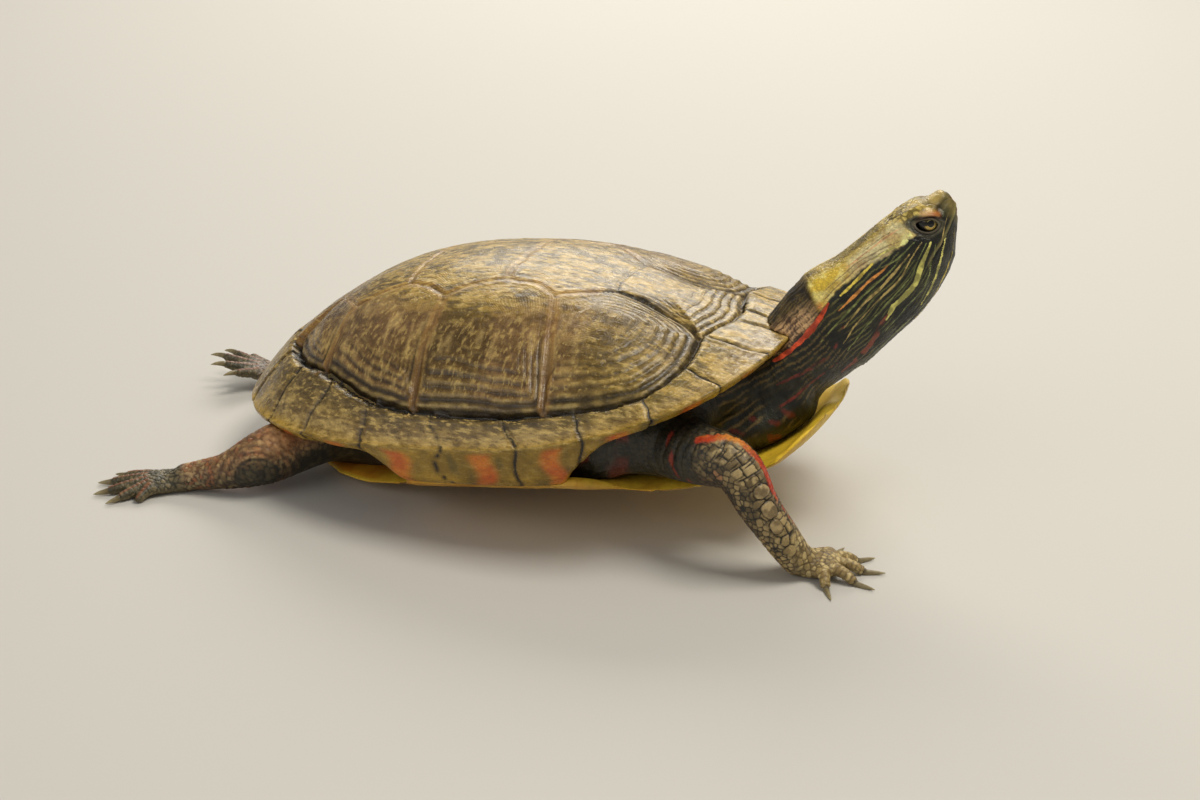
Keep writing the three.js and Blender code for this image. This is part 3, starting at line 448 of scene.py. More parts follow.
def fine_line(pts, step=0.35, wander=0.0, seed=0):
    """Points every step along a line, bent smoothly through its corners."""
    p = np.asarray(pts, float)
    s = np.concatenate([[0], np.cumsum(np.linalg.norm(np.diff(p, axis=0), axis=1))])
    n = max(2, int(s[-1] / step) + 1)
    u = np.linspace(0, s[-1], n)
    q = np.stack([np.interp(u, s, p[:, m]) for m in range(p.shape[1])], 1)
    k = 5
    if n > 2 * k:
        pad = np.vstack([np.repeat(q[:1], k, 0), q, np.repeat(q[-1:], k, 0)])
        w = np.hanning(2 * k + 3)[1:-1]
        w /= w.sum()
        sm = np.stack([np.convolve(pad[:, m], w, "valid") for m in range(q.shape[1])], 1)
        f = np.minimum(np.arange(n), n - 1 - np.arange(n)) / k
        f = np.clip(f, 0, 1)[:, None]
        q = q * (1 - f) + sm * f
    if wander:
        e = np.minimum(np.arange(n), n - 1 - np.arange(n)) / 12.0
        w1 = vnoise(np.stack([q[:, 0], q[:, 1], np.full(n, 3.3 + seed)], 1), 5.0, 40 + seed)
        w2 = vnoise(np.stack([q[:, 0], q[:, 1], np.full(n, 9.3 + seed)], 1), 2.2, 60 + seed)
        tang = unit(np.gradient(q, axis=0))
        nor = np.stack([-tang[:, 1], tang[:, 0]], 1)
        q = q + nor * (wander * np.clip(e, 0, 1) * (w1 + 0.5 * w2))[:, None]
    return q


def rim_keys(t):
    w, z0 = bridge_weight(t), rim_z(t)
    K = under_keys(t)
    first = [(0.93 + 0 * t, dome_z(t, 0.93)), (1.0 + 0 * t, z0)]
    return first + K[:4]


def shell_surface(t, w):
    """The outside of the carapace: w up to 1 is the reach on the dome, w from 1 to 5 goes round the edge and below."""
    t, w = np.broadcast_arrays(np.asarray(t, float), np.asarray(w, float))
    top = dome(t, np.minimum(w, 1))
    K = np.array([[k[0] + 0 * t, k[1] + 0 * t] for k in rim_keys(t)])      # 6 x 2 x n
    v = np.clip(w - 1, 0, 4 - 1e-6)
    i = np.floor(v).astype(int)
    f = v - i
    idx = np.arange(t.size).reshape(t.shape)
    pick = lambda o: np.stack([np.take_along_axis(K[:, m], np.clip(i + 1 + o, 0, 5)[None], 0)[0] for m in (0, 1)])
    c = cubic(pick(-1), pick(0), pick(1), pick(2), f)
    low = at_share(t, c[0], c[1])
    return np.where((w > 1)[..., None], low, top)


def kd_of(points):
    kd = KDTree(len(points))
    for i, p in enumerate(points.tolist()):
        kd.insert(p, i)
    kd.balance()
    return kd


def kd_near(kd, P):
    d = np.empty(len(P))
    j = np.empty(len(P), int)
    find = kd.find
    for i, p in enumerate(P.tolist()):
        _, j[i], d[i] = find(p)
    return d, j


def gauge(P, areola, outline):
    """Share of the way from the areola to the scute's edge, and that way's length."""
    q = fine_line(np.vstack([outline, outline[:1]]), 0.3)
    a = np.array(areola, float)
    ang = np.arctan2(q[:, 1] - a[1], q[:, 0] - a[0])
    rad = np.hypot(q[:, 1] - a[1], q[:, 0] - a[0])
    o = np.argsort(ang)
    ang, rad = ang[o], rad[o]
    pa = np.arctan2(P[:, 1] - a[1], P[:, 0] - a[0])
    R = np.interp(pa, ang, rad, period=2 * math.pi)
    return np.hypot(P[:, 1] - a[1], P[:, 0] - a[0]) / R, R, pa


def srgb(*c):
    """Linear colour of a 0-255 screen colour."""
    c = np.array(c, float) / 255
    return np.where(c <= 0.04045, c / 12.92, ((c + 0.055) / 1.055) ** 2.4)


def lerp(a, b, w):
    return a + (np.asarray(b) - a) * np.asarray(w)[..., None]


# growth ridges: distance in from the scute's edge, height, width
RIDGES = ((1.3, 0.50, 0.30), (3.3, 0.48, 0.30), (5.5, 0.44, 0.32), (7.9, 0.38, 0.34), (10.5, 0.28, 0.36), (13.3, 0.16, 0.40), (16.2, 0.08, 0.40))


def build_carapace():
    K = 146
    n = 2 * K + 1
    g = np.linspace(-1, 1, n)
    a, b = np.meshgrid(g, g, indexing="ij")
    r0 = np.maximum(np.abs(a), np.abs(b))
    q = math.pi / 4
    with np.errstate(divide="ignore", invalid="ignore"):
        t = np.where(np.abs(a) >= np.abs(b), np.where(a >= 0, q * b / a, math.pi + q * b / a), np.where(b >= 0, 2 * q - q * a / b, -2 * q - q * a / b))
    t = np.nan_to_num(t)
    t = t - 0.10 * np.sin(2 * t)                       # denser along the sides
    r = r0 ** 0.93
    # boundary of the square, once round
    side = np.arange(n)
    loop = np.concatenate([side[:-1] * n + 0, (n - 1) * n + side[:-1], side[:0:-1] * n + n - 1, side[:0:-1]])
    tb = t.ravel()[loop]
    rows = np.concatenate([1 + np.array([0.1, 0.22, 0.36, 0.52, 0.7, 0.86, 1.0]), np.linspace(2, 4, 17)[1:], [4.35, 4.7, 5.0]])
    T = np.concatenate([t.ravel()] + [tb] * len(rows))
    W = np.concatenate([r.ravel()] + [np.full(len(tb), w) for w in rows])
    base = shell_surface(T, W)
    e = 2e-3
    dw = shell_surface(T, W + e) - shell_surface(T, np.maximum(W - e, 0))
    dt = shell_surface(T + e, W) - shell_surface(T - e, W)
    N = np.cross(dw, dt)
    N = np.where((W < 0.02)[:, None], [0, 0, 1.0], N)
    N = unit(N)
    N *= np.sign(np.sum(N * (base - [APEX_X, 0, -2]), 1) + 1e-9)[:, None]
    # seams as points on the surface, with a strength for each
    lines, kind = [], []
    def put(tt, ww, k, flip=True):
        for s in ((1, -1) if flip else (1,)):
            p = shell_surface(s * tt, ww)
            lines.append(p)
            kind.append(np.full(len(p), k))
    for m, l in enumerate(V_LINES):
        f = fine_line(l, 0.3, 0.35, m)
        put(*plan_to_tr(f[:, 0], f[:, 1]), 1)
    for m, l in enumerate(C_LINES):
        f = fine_line(l, 0.3, 0.25, 20 + m)
        put(*plan_to_tr(f[:, 0], f[:, 1]), 2)
    f = fine_line(SULCUS, 0.3, 0.22, 33)
    put(*plan_to_tr(f[:, 0], f[:, 1]), 3)
    st, sr = plan_to_tr(*np.array(SULCUS, float).T)
    for tr_, top in zip(MARGINAL_RIM, MARGINAL_TOP):
        t0, w0 = plan_to_tr(*top)
        k = np.linspace(0, 1, 60)
        tt = np.concatenate([t0 + (tr_ - t0) * k ** 0.9 + 0.004 * np.sin(k * 9 + tr_ * 7), np.full(70, tr_) + 0.006 * np.sin(np.linspace(0, 7, 70) + tr_ * 3)])
        ww = np.concatenate([w0 + (1 - w0) * k, np.linspace(1.02, 5, 70)])
        put(tt, ww, 4)
    put(np.full(40, math.pi), np.concatenate([np.linspace(0.93 * float(sr[-1]) + 0.07, 1, 20), np.linspace(1.02, 5, 20)]), 4, False)
    L, Kd = np.concatenate(lines), np.concatenate(kind)
    seam, j = kd_near(kd_of(L), base)
    kind_at = Kd[j]
    # which scute, and how far in from its edge
    ta = np.abs((T + math.pi) % (2 * math.pi) - math.pi)
    rs = np.interp(ta, st, sr)
    plan = np.stack([base[:, 0], np.abs(base[:, 1])], 1)
    marginal = (W >= rs)
    G = np.full(len(T), 9.0)
    D = np.zeros(len(T))
    ANG = np.zeros(len(T))
    SID = np.zeros(len(T), int)
    for m, (name, are, out) in enumerate(SCUTES):
        out = np.array(out, float)
        P = plan
        if name[0] == "v":
            out = np.vstack([out, (out * [1, -1])[::-1]])
            P = np.stack([base[:, 0], base[:, 1]], 1)
        gg, R, pa = gauge(P, are, out)
        better = (gg < G) & ~marginal
        G = np.where(better, gg, G)
        D = np.where(better, (1 - gg) * R, D)
        ANG = np.where(better, pa, ANG)
        SID = np.where(better, m + 1, SID)
    # marginals: u along, v from the sulcus to the rim
    v = np.clip((W - rs) / np.maximum(1 - rs, 1e-3), 0, None)
    tj = []
    for tr_, top in zip(MARGINAL_RIM, MARGINAL_TOP):
        t0, w0 = plan_to_tr(*top)
        tj.append(t0 + (tr_ - t0) * np.clip(v, 0, 1) ** 0.9)
    tj = np.array(tj + [np.full(len(T), math.pi)])
    mi = np.sum(ta[None] > tj, 0)
    lo = np.where(mi == 0, -tj[0], tj[np.clip(mi - 1, 0, 12), np.arange(len(T))])
    hi = tj[np.clip(mi, 0, 12), np.arange(len(T))]
    u = np.clip((ta - lo) / np.maximum(hi - lo, 1e-3), 0, 1)
    rnd = _hash(np.where(marginal, 40 + mi, SID).astype(np.int64), (base[:, 1] > 0).astype(np.int64), np.zeros(len(T), np.int64), 5)
    P3 = base
    inner = np.clip(D, 0, None)
    # ---- relief
    h = np.zeros(len(T))
    wob = 0.55 * vnoise(P3, 7.0, 3) + 0.25 * vnoise(P3, 2.6, 4)
    costal = ~marginal & (SID >= 6)
    vert = ~marginal & (SID <= 5)
    # growth ridges step down towards the front and lower edges
    front = smooth(20, 46, base[:, 0]) * smooth(0.35, 0.75, W)
    low_side = smooth(0.60, 0.86, W)
    strength = np.where(costal, np.clip(0.10 + 0.95 * np.maximum(front, low_side), 0, 1), 0) + np.where(SID == 1, 0.75 * smooth(38, 50, base[:, 0]), 0) + np.where(vert & (SID > 1), 0.10, 0)
    for d0, hh, wd in RIDGES:
        x = (inner + wob * (0.40 + 0.06 * d0) - d0) / wd
        step = 1 / (1 + np.exp(-np.clip(x, -30, 30)))
        crest = np.exp(-((x - 1.9) / 1.6) ** 2) * 0.50 - np.exp(-((x + 0.9) / 0.9) ** 2) * 0.45
        h += strength * hh * (step - 1 + crest)
    # marginals: ledges along the upper half, an arched free edge
    mv = np.clip(v, 0, 1)
    side_m = smooth(math.radians(40), math.radians(60), ta) * (1 - smooth(math.radians(122), math.radians(140), ta))
    for v0, hh in ((0.10, 0.36), (0.27, 0.30), (0.46, 0.26), (0.72, 0.14)):
        x = (mv + 0.035 * wob + 0.02 * np.sin(6 * u + 9 * rnd) - v0) / 0.022
        step = 1 / (1 + np.exp(-np.clip(x, -30, 30)))
        crest = 0.45 * np.exp(-((x - 1.8) / 1.6) ** 2)
        h += marginal * (0.25 + 0.75 * side_m) * hh * (-(step) * 0.55 + crest) * (W < 1.02)
    h += marginal * 0.30 * np.sin(math.pi * u) ** 0.7 * smooth(0, 0.25, mv) * (1 - smooth(2.6, 4.2, W))
    # the front corner of each side marginal stands a little proud of its neighbour
    h += marginal * 0.16 * (1 - smooth(0.0, 0.5, u)) * (1 - smooth(3.2, 4.4, W))
    # broad unevenness, small pits and scratches
    h += 0.20 * vnoise(P3, 16, 8) + 0.10 * vnoise(P3, 6, 9) + 0.045 * vnoise(P3, 2.2, 10)
    pits = worley(P3 * [1, 1, 1.2], 3.1, 12)
    h -= 0.10 * np.exp(-(pits[0] / 0.16) ** 2) * (pits[2] > 0.62)
    # seams
    deep = smooth(40, 20, base[:, 0]) * smooth(-52, -36, base[:, 0]) * (kind_at == 3)
    width = np.select([kind_at == 1, kind_at == 2, kind_at == 3, kind_at == 4], [0.40, 0.36, 0.80, 0.46], 0.5) * (1 + 0.35 * vnoise(P3, 4.0, 15)) + 0.35 * deep
    depth = np.select([kind_at == 1, kind_at == 2, kind_at == 3, kind_at == 4], [0.26, 0.14, 0.90, 0.46], 0.3) + 0.45 * deep
    gap = np.clip(0.72 + 0.6 * vnoise(P3, 9.0, 17), 0.15, 1.1)
    depth = depth * np.where(kind_at == 3, np.maximum(gap, 0.7), gap)
    h -= depth * np.exp(-(seam / width) ** 2)
    h += 0.10 * np.exp(-((seam - 1.3) / 0.7) ** 2) * (W < 4)
    h *= 1 - smooth(4.3, 5.0, W)
    h = np.minimum(h, 0.55)
    co = base + N * h[:, None]
    # no point of the edge reaches past the solid's outline by more than a hair
    # ---- colour
    # upper dome paler and more golden: partly the shell's own colour, partly painted light from above
    top = 1 - smooth(0.34, 0.66, W + 0.09 * vnoise(P3, 14, 20))
    f1 = fbm(P3 * [0.42, 1.0, 1.0], 3.0, 21, 4, 0.62)
    f2 = fbm(P3 * [0.50, 1.0, 1.0], 1.4, 25, 3, 0.6)
    big = fbm(P3, 20, 29, 3)
    col = lerp(srgb(98, 73, 34) + 0 * P3, srgb(132, 102, 54), smooth(-0.4, 0.5, big))
    olive = lerp(srgb(126, 104, 38) + 0 * P3, srgb(166, 138, 54), smooth(-0.3, 0.4, f1 + 0.4 * big))
    col = lerp(col, olive, np.clip(0.85 * top + 0.6 * front + marginal * 0.55, 0, 1))
    fleck = smooth(-0.01, 0.18, 0.7 * f1 + 0.75 * f2 + 0.14 * (top - 0.4) + 0.06 * front + 0.25 * big)
    gold = lerp(srgb(204, 164, 76) + 0 * P3, srgb(236, 204, 122), smooth(0, 0.6, f2))
    col = lerp(col, gold, fleck * np.clip(0.20 + 0.42 * top + 0.26 * front + 0.18 * marginal, 0, 0.66))
    lat_ = costal * smooth(0.42, 0.60, W)
    dark = smooth(0.12, 0.34, -(f1 * 0.55 + f2 * 0.75))
    col = lerp(col, srgb(64, 49, 20), 0.50 * dark * (1 - 0.60 * marginal) * (1 - 0.35 * lat_))
    # lateral scutes: brown, with pale streaks running down them; the streaks are partly painted highlight, strongest at
    # mid height
    streak = fbm(P3 * [1.7, 0.55, 0.42], 3.4, 35, 3, 0.6)
    lat = costal * smooth(0.42, 0.60, W) * (1 - 0.75 * front)
    col = lerp(col, lerp(srgb(112, 82, 52) + 0 * P3, srgb(158, 122, 82), smooth(-0.35, 0.35, streak + 0.4 * f1)), 0.62 * lat * smooth(-0.5, 0.2, big))
    # pale streaks: partly the scute's own streaks, partly a painted highlight of wet sheen at mid height
    pale = smooth(0.02, 0.32, streak) * (0.45 + 0.75 * smooth(0.44, 0.62, W) * (1 - smooth(0.72, 0.86, W)))
    col = lerp(col, srgb(206, 176, 112), 0.42 * lat * np.clip(pale, 0, 1))
    # ridges: pale crests are painted highlight, dark steps are painted shadow
    ph = inner + wob * (0.40 + 0.06 * inner)
    ring, lit = np.zeros(len(T)), np.zeros(len(T))
    for d0, hh, wd in RIDGES:
        ring = np.maximum(ring, np.exp(-((ph - d0 + 0.28) / 0.42) ** 2) / (1 + 0.04 * d0))
        lit = np.maximum(lit, np.exp(-((ph - d0 - 0.55) / 0.45) ** 2) / (1 + 0.04 * d0))
    # dark band along the stepped costal edge: partly painted shade of the ridges
    band = smooth(4.6, 2.6, inner + wob * 0.5) * np.clip(strength, 0, 1) * costal
    col = lerp(col, lerp(srgb(38, 31, 15) + 0 * P3, srgb(84, 70, 34), smooth(0.0, 0.4, f2)), 0.72 * band)
    brk = np.clip(0.75 + 0.9 * f1, 0.2, 1)
    # painted highlight along each ridge crest
    col = lerp(col, lerp(gold, srgb(214, 190, 124), 0.4), 0.62 * lit * np.clip(strength, 0, 1) * np.clip(0.6 + 1.2 * f2, 0.15, 1))
    # painted shadow at the foot of each ridge step
    col = lerp(col, srgb(30, 22, 10), 0.95 * ring * np.clip(strength * 1.15, 0, 1) * brk)
    # painted shade: dark lines at the foot of the ledge steps on the marginals
    mr = np.zeros(len(T))
    for v0 in (0.10, 0.27, 0.46, 0.72):
        mr = np.maximum(mr, np.exp(-((mv + 0.035 * wob + 0.02 * np.sin(6 * u + 9 * rnd) - v0 - 0.012) / 0.022) ** 2))
    col = lerp(col, srgb(40, 33, 17), 0.55 * mr * marginal * side_m * (W < 1))
    # marginals: tan towards the rim, bright edge behind, yellow-green below with orange bars
    tan = lerp(srgb(150, 122, 76) + 0 * P3, srgb(210, 180, 118), smooth(-0.3, 0.4, f1 + 0.5 * f2))
    col = lerp(col, tan, marginal * smooth(0.25, 0.80, mv) * (W <= 1.0) * 0.62)
    ledge = lerp(srgb(92, 78, 52) + 0 * P3, srgb(128, 108, 74), smooth(-0.3, 0.4, f2))
    col = lerp(col, ledge, marginal * side_m * np.exp(-((mv - 0.28) / 0.17) ** 2) * (W <= 1.0) * 0.60)
    # soft greenish grey shade on the upper halves of the side marginals
    below = smooth(1.0, 1.5, W)
    yg = lerp(srgb(142, 112, 32) + 0 * P3, srgb(190, 152, 52), smooth(-0.4, 0.5, fbm(P3, 7, 41, 3)))
    yg = lerp(yg, srgb(84, 78, 34), 0.55 * smooth(0.15, 0.6, fbm(P3 * [1.5, 1.5, 0.6], 5, 43, 3)))
    bar = np.exp(-((u - 0.47 + 0.05 * np.sin(W * 2.1 + rnd * 6) + 0.06 * (W - 2) * (rnd - 0.4)) / 0.155) ** 4) * smooth(1.1, 1.9, W) * (1 - smooth(4.6, 5.2, W)) * smooth(math.radians(14), math.radians(26), ta)
    yg = lerp(yg, lerp(srgb(226, 132, 40) + 0 * P3, srgb(208, 92, 28), smooth(-0.3, 0.4, f1)), 0.92 * bar)
    curl = np.exp(-((u - 0.47 + 0.05 * np.sin(W * 2.1 + rnd * 6)) / 0.30) ** 6) * (1 - bar) * smooth(1.3, 2.1, W)
    yg = lerp(yg, srgb(66, 58, 26), 0.42 * curl * np.clip(0.5 + 1.5 * f1, 0, 1))
    col = lerp(col, yg, marginal * below)
    edge = np.exp(-((W - 1.06) / 0.10) ** 2) * np.where(W > 1, 1, 0.0) + np.exp(-((1 - W) / 0.012) ** 2) * (W <= 1)
    rear = smooth(math.radians(112), math.radians(132), ta)
    col = lerp(col, srgb(214, 170, 44), np.clip(edge, 0, 1) * np.clip(0.35 + 0.6 * rear, 0, 1) * smooth(math.radians(20), math.radians(40), ta) * 0.9)
    # seams
    black = np.exp(-(seam / (width * 0.9)) ** 2)
    pale_v = (kind_at == 1) & (base[:, 0] < 30)
    depth_col = np.select([pale_v, kind_at == 1, kind_at == 2, kind_at == 3, kind_at == 4], [0.50, 0.78, 0.50, 1.0, 1.0], 0.5) * np.where(kind_at >= 3, np.maximum(gap, 0.88), gap) + 0.35 * deep + 0.4 * marginal * smooth(1.1, 1.5, W)
    tint = np.where(((kind_at == 2) | pale_v)[:, None], srgb(128, 84, 44), srgb(26, 19, 9))
    col = col + (tint - col) * np.clip(black * depth_col, 0, 1)[:, None]
    halo = np.exp(-((seam - 0.9) / 0.6) ** 2) * ((kind_at == 2) | pale_v)
    col = lerp(col, srgb(190, 140, 74), 0.42 * halo)
    col = np.clip(col * (1 + 0.10 * vnoise(P3, 1.1, 77))[:, None], 0, 1)
    # ---- faces
    idx = np.arange(n * n).reshape(n, n)
    quads = np.stack([idx[:-1, :-1], idx[1:, :-1], idx[1:, 1:], idx[:-1, 1:]], -1).reshape(-1, 4)
    faces = quads.tolist()
    m = len(loop)
    prev = loop
    start = n * n
    for k in range(len(rows)):
        cur = start + k * m + np.arange(m)
        faces += np.stack([prev, cur, np.roll(cur, -1), np.roll(prev, -1)], 1).tolist()
        prev = cur
    # the hidden inside, coarser
    kstep = 8
    tc = tb[::kstep]
    mc = len(tc)
    inner_rows = []
    uk = under_keys(tc)
    inner_rows += [at_share(tc, uk[4][0], uk[4][1]), at_share(tc, uk[5][0], uk[5][1])]
    for rr in (0.735, 0.60, 0.42, 0.22):
        inner_rows.append(at_share(tc, rr, dome_z(tc, rr) - SHELL_WALL))
    co = np.vstack([co] + inner_rows + [[[APEX_X, 0, DOME_H - SHELL_WALL]]])
    first = len(T)
    for i in range(mc):
        j = (i + 1) % mc
        outer = [int(prev[(i * kstep + s) % m]) for s in range(kstep + 1)]
        faces.append(outer[::-1] + [first + i, first + j])
    for k in range(len(inner_rows) - 1):
        A, B = first + k * mc, first + (k + 1) * mc
        for i in range(mc):
            j = (i + 1) % mc
            faces.append([A + i, B + i, B + j, A + j])
    A, tip = first + (len(inner_rows) - 1) * mc, len(co) - 1
    for i in range(mc):
        faces.append([A + i, tip, A + (i + 1) % mc])
    pad = len(co) - len(T)
    seam_a = np.concatenate([seam, np.full(pad, 5.0)])
    col = np.vstack([col, np.tile(srgb(120, 104, 60), (pad, 1))])
    ring_a = np.concatenate([np.where(marginal, mv * 6, ph), np.zeros(pad)])
    gloss = np.concatenate([np.clip(0.5 + 0.5 * lat - 0.35 * fleck + 0.2 * below, 0, 1), np.full(pad, 0.3)])
    return to_floor(co), faces, col, dict(seam=seam_a, ring=ring_a, gloss=gloss, quiet=np.concatenate([np.clip(0.85 * band + 0.75 * below * marginal + 0.35 * lat, 0, 1), np.zeros(pad)]), sdark=np.concatenate([np.clip(depth_col, 0, 1) * np.where(kind_at == 4, mix(0.85, 0.35 + 0.65 * below, smooth(math.radians(60), math.radians(80), ta)), 1.0) * (~((kind_at == 2) | pale_v)), np.zeros(pad)]), lat=np.concatenate([np.clip(lat, 0, 1), np.zeros(pad)]))


# ------------------------------------------------------------------ lower shell
PLASTRON_SEAMS = [62.5, 43.5, 22.0, -14.5, -43.0]     # gular, humeral, pectoral, abdominal, femoral, anal


def build_plastron():
    nx, nv = 300, 130
    k = np.arange(nx + 1) / nx
    xs = mix(PLASTRON_REAR, PLASTRON_FRONT, 0.5 - 0.5 * np.cos(math.pi * k) * mix(1, 0.999, k))
    v = np.sin((np.arange(nv + 1) / nv * 2 - 1) * math.pi / 2)
    X, V = np.meshgrid(xs, v, indexing="ij")
    wide = plastron_half(X)
    z = plastron_under(X, V)
    steep = 3.9 * (BRIDGE_Z - PLASTRON_Z) / wide * np.abs(V) ** 3.2 * smooth(36, 48, wide)
    ln = np.hypot(1, steep)
    nrm = np.stack([0 * X, -np.sign(V) * steep / ln, 1 / ln], -1)
    edge = 1 - 0.55 * np.abs(V) ** 10 * (1 - smooth(36, 48, wide))
    low = np.stack([X, V * wide, z], -1)
    P3 = low.reshape(-1, 3)
    # seams: midline, and pairs that sweep forward or back from it
    lines = [np.stack([xs, 0.5 * np.sin(xs * 0.23), plastron_under(xs, 0 * xs)], 1)]
    for m, x0 in enumerate(PLASTRON_SEAMS):
        yy = np.linspace(0, 56, 200)
        bow = [-5.5, 3.0, -2.5, -3.5, -7.0][m]
        xx = x0 + bow * (yy / 30.0) ** 1.4 + 0.4 * np.sin(yy * 0.4 + m)
        hw = plastron_half(xx)
        yy = np.minimum(yy, hw)
        zz = plastron_under(xx, yy / hw)
        for s in (1, -1):
            lines.append(np.stack([xx, s * yy, zz], 1))
    L = np.concatenate(lines)
    seam, _ = kd_near(kd_of(L), P3)
    h = 0.16 * vnoise(P3, 13, 50) + 0.05 * vnoise(P3, 4, 51)
    h = h - 0.34 * np.exp(-(seam / 0.42) ** 2) * np.clip(0.8 + 0.5 * vnoise(P3, 7, 52), 0.2, 1) + 0.08 * np.exp(-((seam - 1.2) / 0.7) ** 2)
    # faint growth lines
    h += 0.035 * np.sin(seam * 2 * math.pi / 1.7 + 0.8 * vnoise(P3, 6, 53)) * smooth(0.8, 2.5, seam) * (1 - smooth(9, 16, seam))
    # keep the resting flat flat: nothing below the solid's underside
    h = np.minimum(h - 0.20, 0.0)
    low = low + nrm * (-h.reshape(X.shape))[..., None]
    thick = PLASTRON_T * edge
    # rounded free edges
    rounding = np.clip((np.abs(V) - 0.93) / 0.07, 0, 1) ** 2 * (1 - smooth(36, 48, wide))
    low = low + nrm * (rounding * thick * 0.30)[..., None]
    top = np.stack([X, V * wide, z], -1) + nrm * (thick * (1 - 0.22 * rounding))[..., None]
    nose = np.clip((X - 80) / 4.5, 0, 1) ** 2
    low = low + nrm * (nose * 0.7)[..., None]
    bead = 1.1 * np.exp(-((X - 80.6) / 2.6) ** 2) * (1 - 0.5 * V ** 2) * (1 + 0.25 * np.sin(V * 9 + 0.6))
    lumps = 0.42 * vnoise(top.reshape(-1, 3), 7, 63).reshape(X.shape) * smooth(62, 72, X) * (1 - V ** 8)
    top = top + nrm * (bead - nose * 0.9 + np.minimum(lumps, 0.3))[..., None]
    n1, n2 = X.shape
    idx = np.arange(n1 * n2).reshape(n1, n2)
    Q = np.stack([idx[:-1, :-1], idx[:-1, 1:], idx[1:, 1:], idx[1:, :-1]], -1).reshape(-1, 4)
    faces = Q.tolist()
    # the upper face is hidden by the body except near its edges
    off = n1 * n2
    faces += (Q[:, ::-1] + off).tolist()
    ring = np.concatenate([idx[:, 0], idx[-1, 1:], idx[-2::-1, -1], idx[0, -2:0:-1]])
    nxt = np.roll(ring, -1)
    faces += np.stack([ring, nxt, nxt + off, ring + off], 1).tolist()
    co = np.vstack([low.reshape(-1, 3), top.reshape(-1, 3)])
    f1, f2 = fbm(P3, 9, 55, 4), fbm(P3, 2.5, 59, 3)
    col = lerp(srgb(214, 168, 66) + 0 * P3, srgb(232, 196, 96), smooth(-0.4, 0.5, f1))
    col = lerp(col, srgb(196, 128, 40), 0.55 * smooth(0.05, 0.45, -f1 + 0.25 * f2) + 0.35 * smooth(0.80, 1.0, np.abs(V).ravel()))
    col = lerp(col, srgb(120, 92, 44), 0.35 * smooth(0.25, 0.6, f2 + 0.3 * fbm(P3, 20, 62, 2)))
    col = lerp(col, srgb(236, 204, 84), smooth(46, 62, X.ravel()) * 0.55)
    col = lerp(col, srgb(74, 48, 20), 0.62 * np.exp(-(seam / 0.45) ** 2))
    inner_c = lerp(srgb(216, 144, 22) + 0 * P3, srgb(248, 200, 50), smooth(-0.25, 0.35, f1 + 0.5 * f2))
    inner_c = lerp(inner_c, srgb(252, 216, 76), 0.6 * smooth(0.70, 0.95, np.maximum(np.abs(V), smooth(70, 84, X)).ravel()))
    inner_c = lerp(inner_c, srgb(170, 104, 30), 0.5 * smooth(0.15, 0.5, -f1))
    inner_c = lerp(inner_c, srgb(252, 214, 62), 0.8 * smooth(58, 68, X).ravel())
    # painted shade: the rear lobe's upper face darker amber, as shade under the marginals, with its edge left bright
    inner_c = lerp(inner_c, lerp(srgb(196, 104, 18) + 0 * P3, srgb(228, 152, 40), smooth(-0.3, 0.3, f1)), 0.85 * (smooth(-24, -34, X) * smooth(1.0, 0.965, np.abs(V))).ravel())
    col = np.vstack([col, inner_c])
    return to_floor(co), faces, np.clip(col, 0, 1), dict(seam=np.concatenate([seam, np.full(off, 5.0)]), ring=np.concatenate([seam, np.full(off, 5.0)]), gloss=np.full(2 * off, 0.5))
# ------------------------------------------------------------------ flesh
VOX, BAND = 0.5, 13


def field_of(pts, tris, band=BAND):
    """Signed distance on a grid of VOX mm inside and round a closed mesh: (lowest cell, values)."""
    tr = openvdb.createLinearTransform(voxelSize=VOX)
    pts = np.ascontiguousarray(pts, np.float32)
    g = openvdb.FloatGrid.createLevelSetFromPolygons(pts, triangles=np.ascontiguousarray(tris, np.uint32), transform=tr, halfWidth=float(band))
    lo = np.floor(pts.min(0) / VOX).astype(int) - band - 1
    hi = np.ceil(pts.max(0) / VOX).astype(int) + band + 2
    a = np.empty(tuple(hi - lo), np.float32)
    g.copyToArray(a, ijk=tuple(int(v) for v in lo))
    return lo, a


class Field:
    def __init__(self, lo, hi):
        self.lo = np.floor(np.array(lo) / VOX).astype(int)
        self.n = np.ceil(np.array(hi) / VOX).astype(int) - self.lo
        self.bg = np.float32(BAND * VOX)
        self.a = np.full(tuple(self.n), self.bg, np.float32)

    def view(self, lo, a):
        s = np.maximum(lo - self.lo, 0)
        e = np.minimum(lo - self.lo + a.shape, self.n)
        o = self.lo + s - lo
        mine = self.a[s[0]:e[0], s[1]:e[1], s[2]:e[2]]
        his = a[o[0]:o[0] + mine.shape[0], o[1]:o[1] + mine.shape[1], o[2]:o[2] + mine.shape[2]]
        return mine, his

    def join(self, part, k=0.0):
        mine, his = self.view(*part)
        low = np.minimum(mine, his)
        if k > 0:
            h = np.maximum(k - np.abs(mine - his), 0) / k
            near = (np.maximum(mine, his) < self.bg * 0.98) & (low > -self.bg * 0.98)
            low = np.where(near, low - h * h * k * 0.25, low)
        mine[...] = low

    def cut(self, part, gap):
        mine, his = self.view(*part)
        np.maximum(mine, np.float32(gap) - his, out=mine)

    def sample(self, P):
        q = np.asarray(P, float) / VOX - self.lo
        q = np.clip(q, 0.01, np.array(self.n) - 1.01)
        i = q.astype(int)
        t = q - i
        out = np.zeros(len(q))
        for dx in (0, 1):
            for dy in (0, 1):
                for dz in (0, 1):
                    w = np.abs(1 - dx - t[:, 0]) * np.abs(1 - dy - t[:, 1]) * np.abs(1 - dz - t[:, 2])
                    out += w * self.a[i[:, 0] + dx, i[:, 1] + dy, i[:, 2] + dz]
        return out

    def normal(self, P, e=0.4):
        P = np.asarray(P, float)
        g = np.stack([self.sample(P + np.eye(3)[m] * e) - self.sample(P - np.eye(3)[m] * e) for m in range(3)], 1)
        return unit(g)


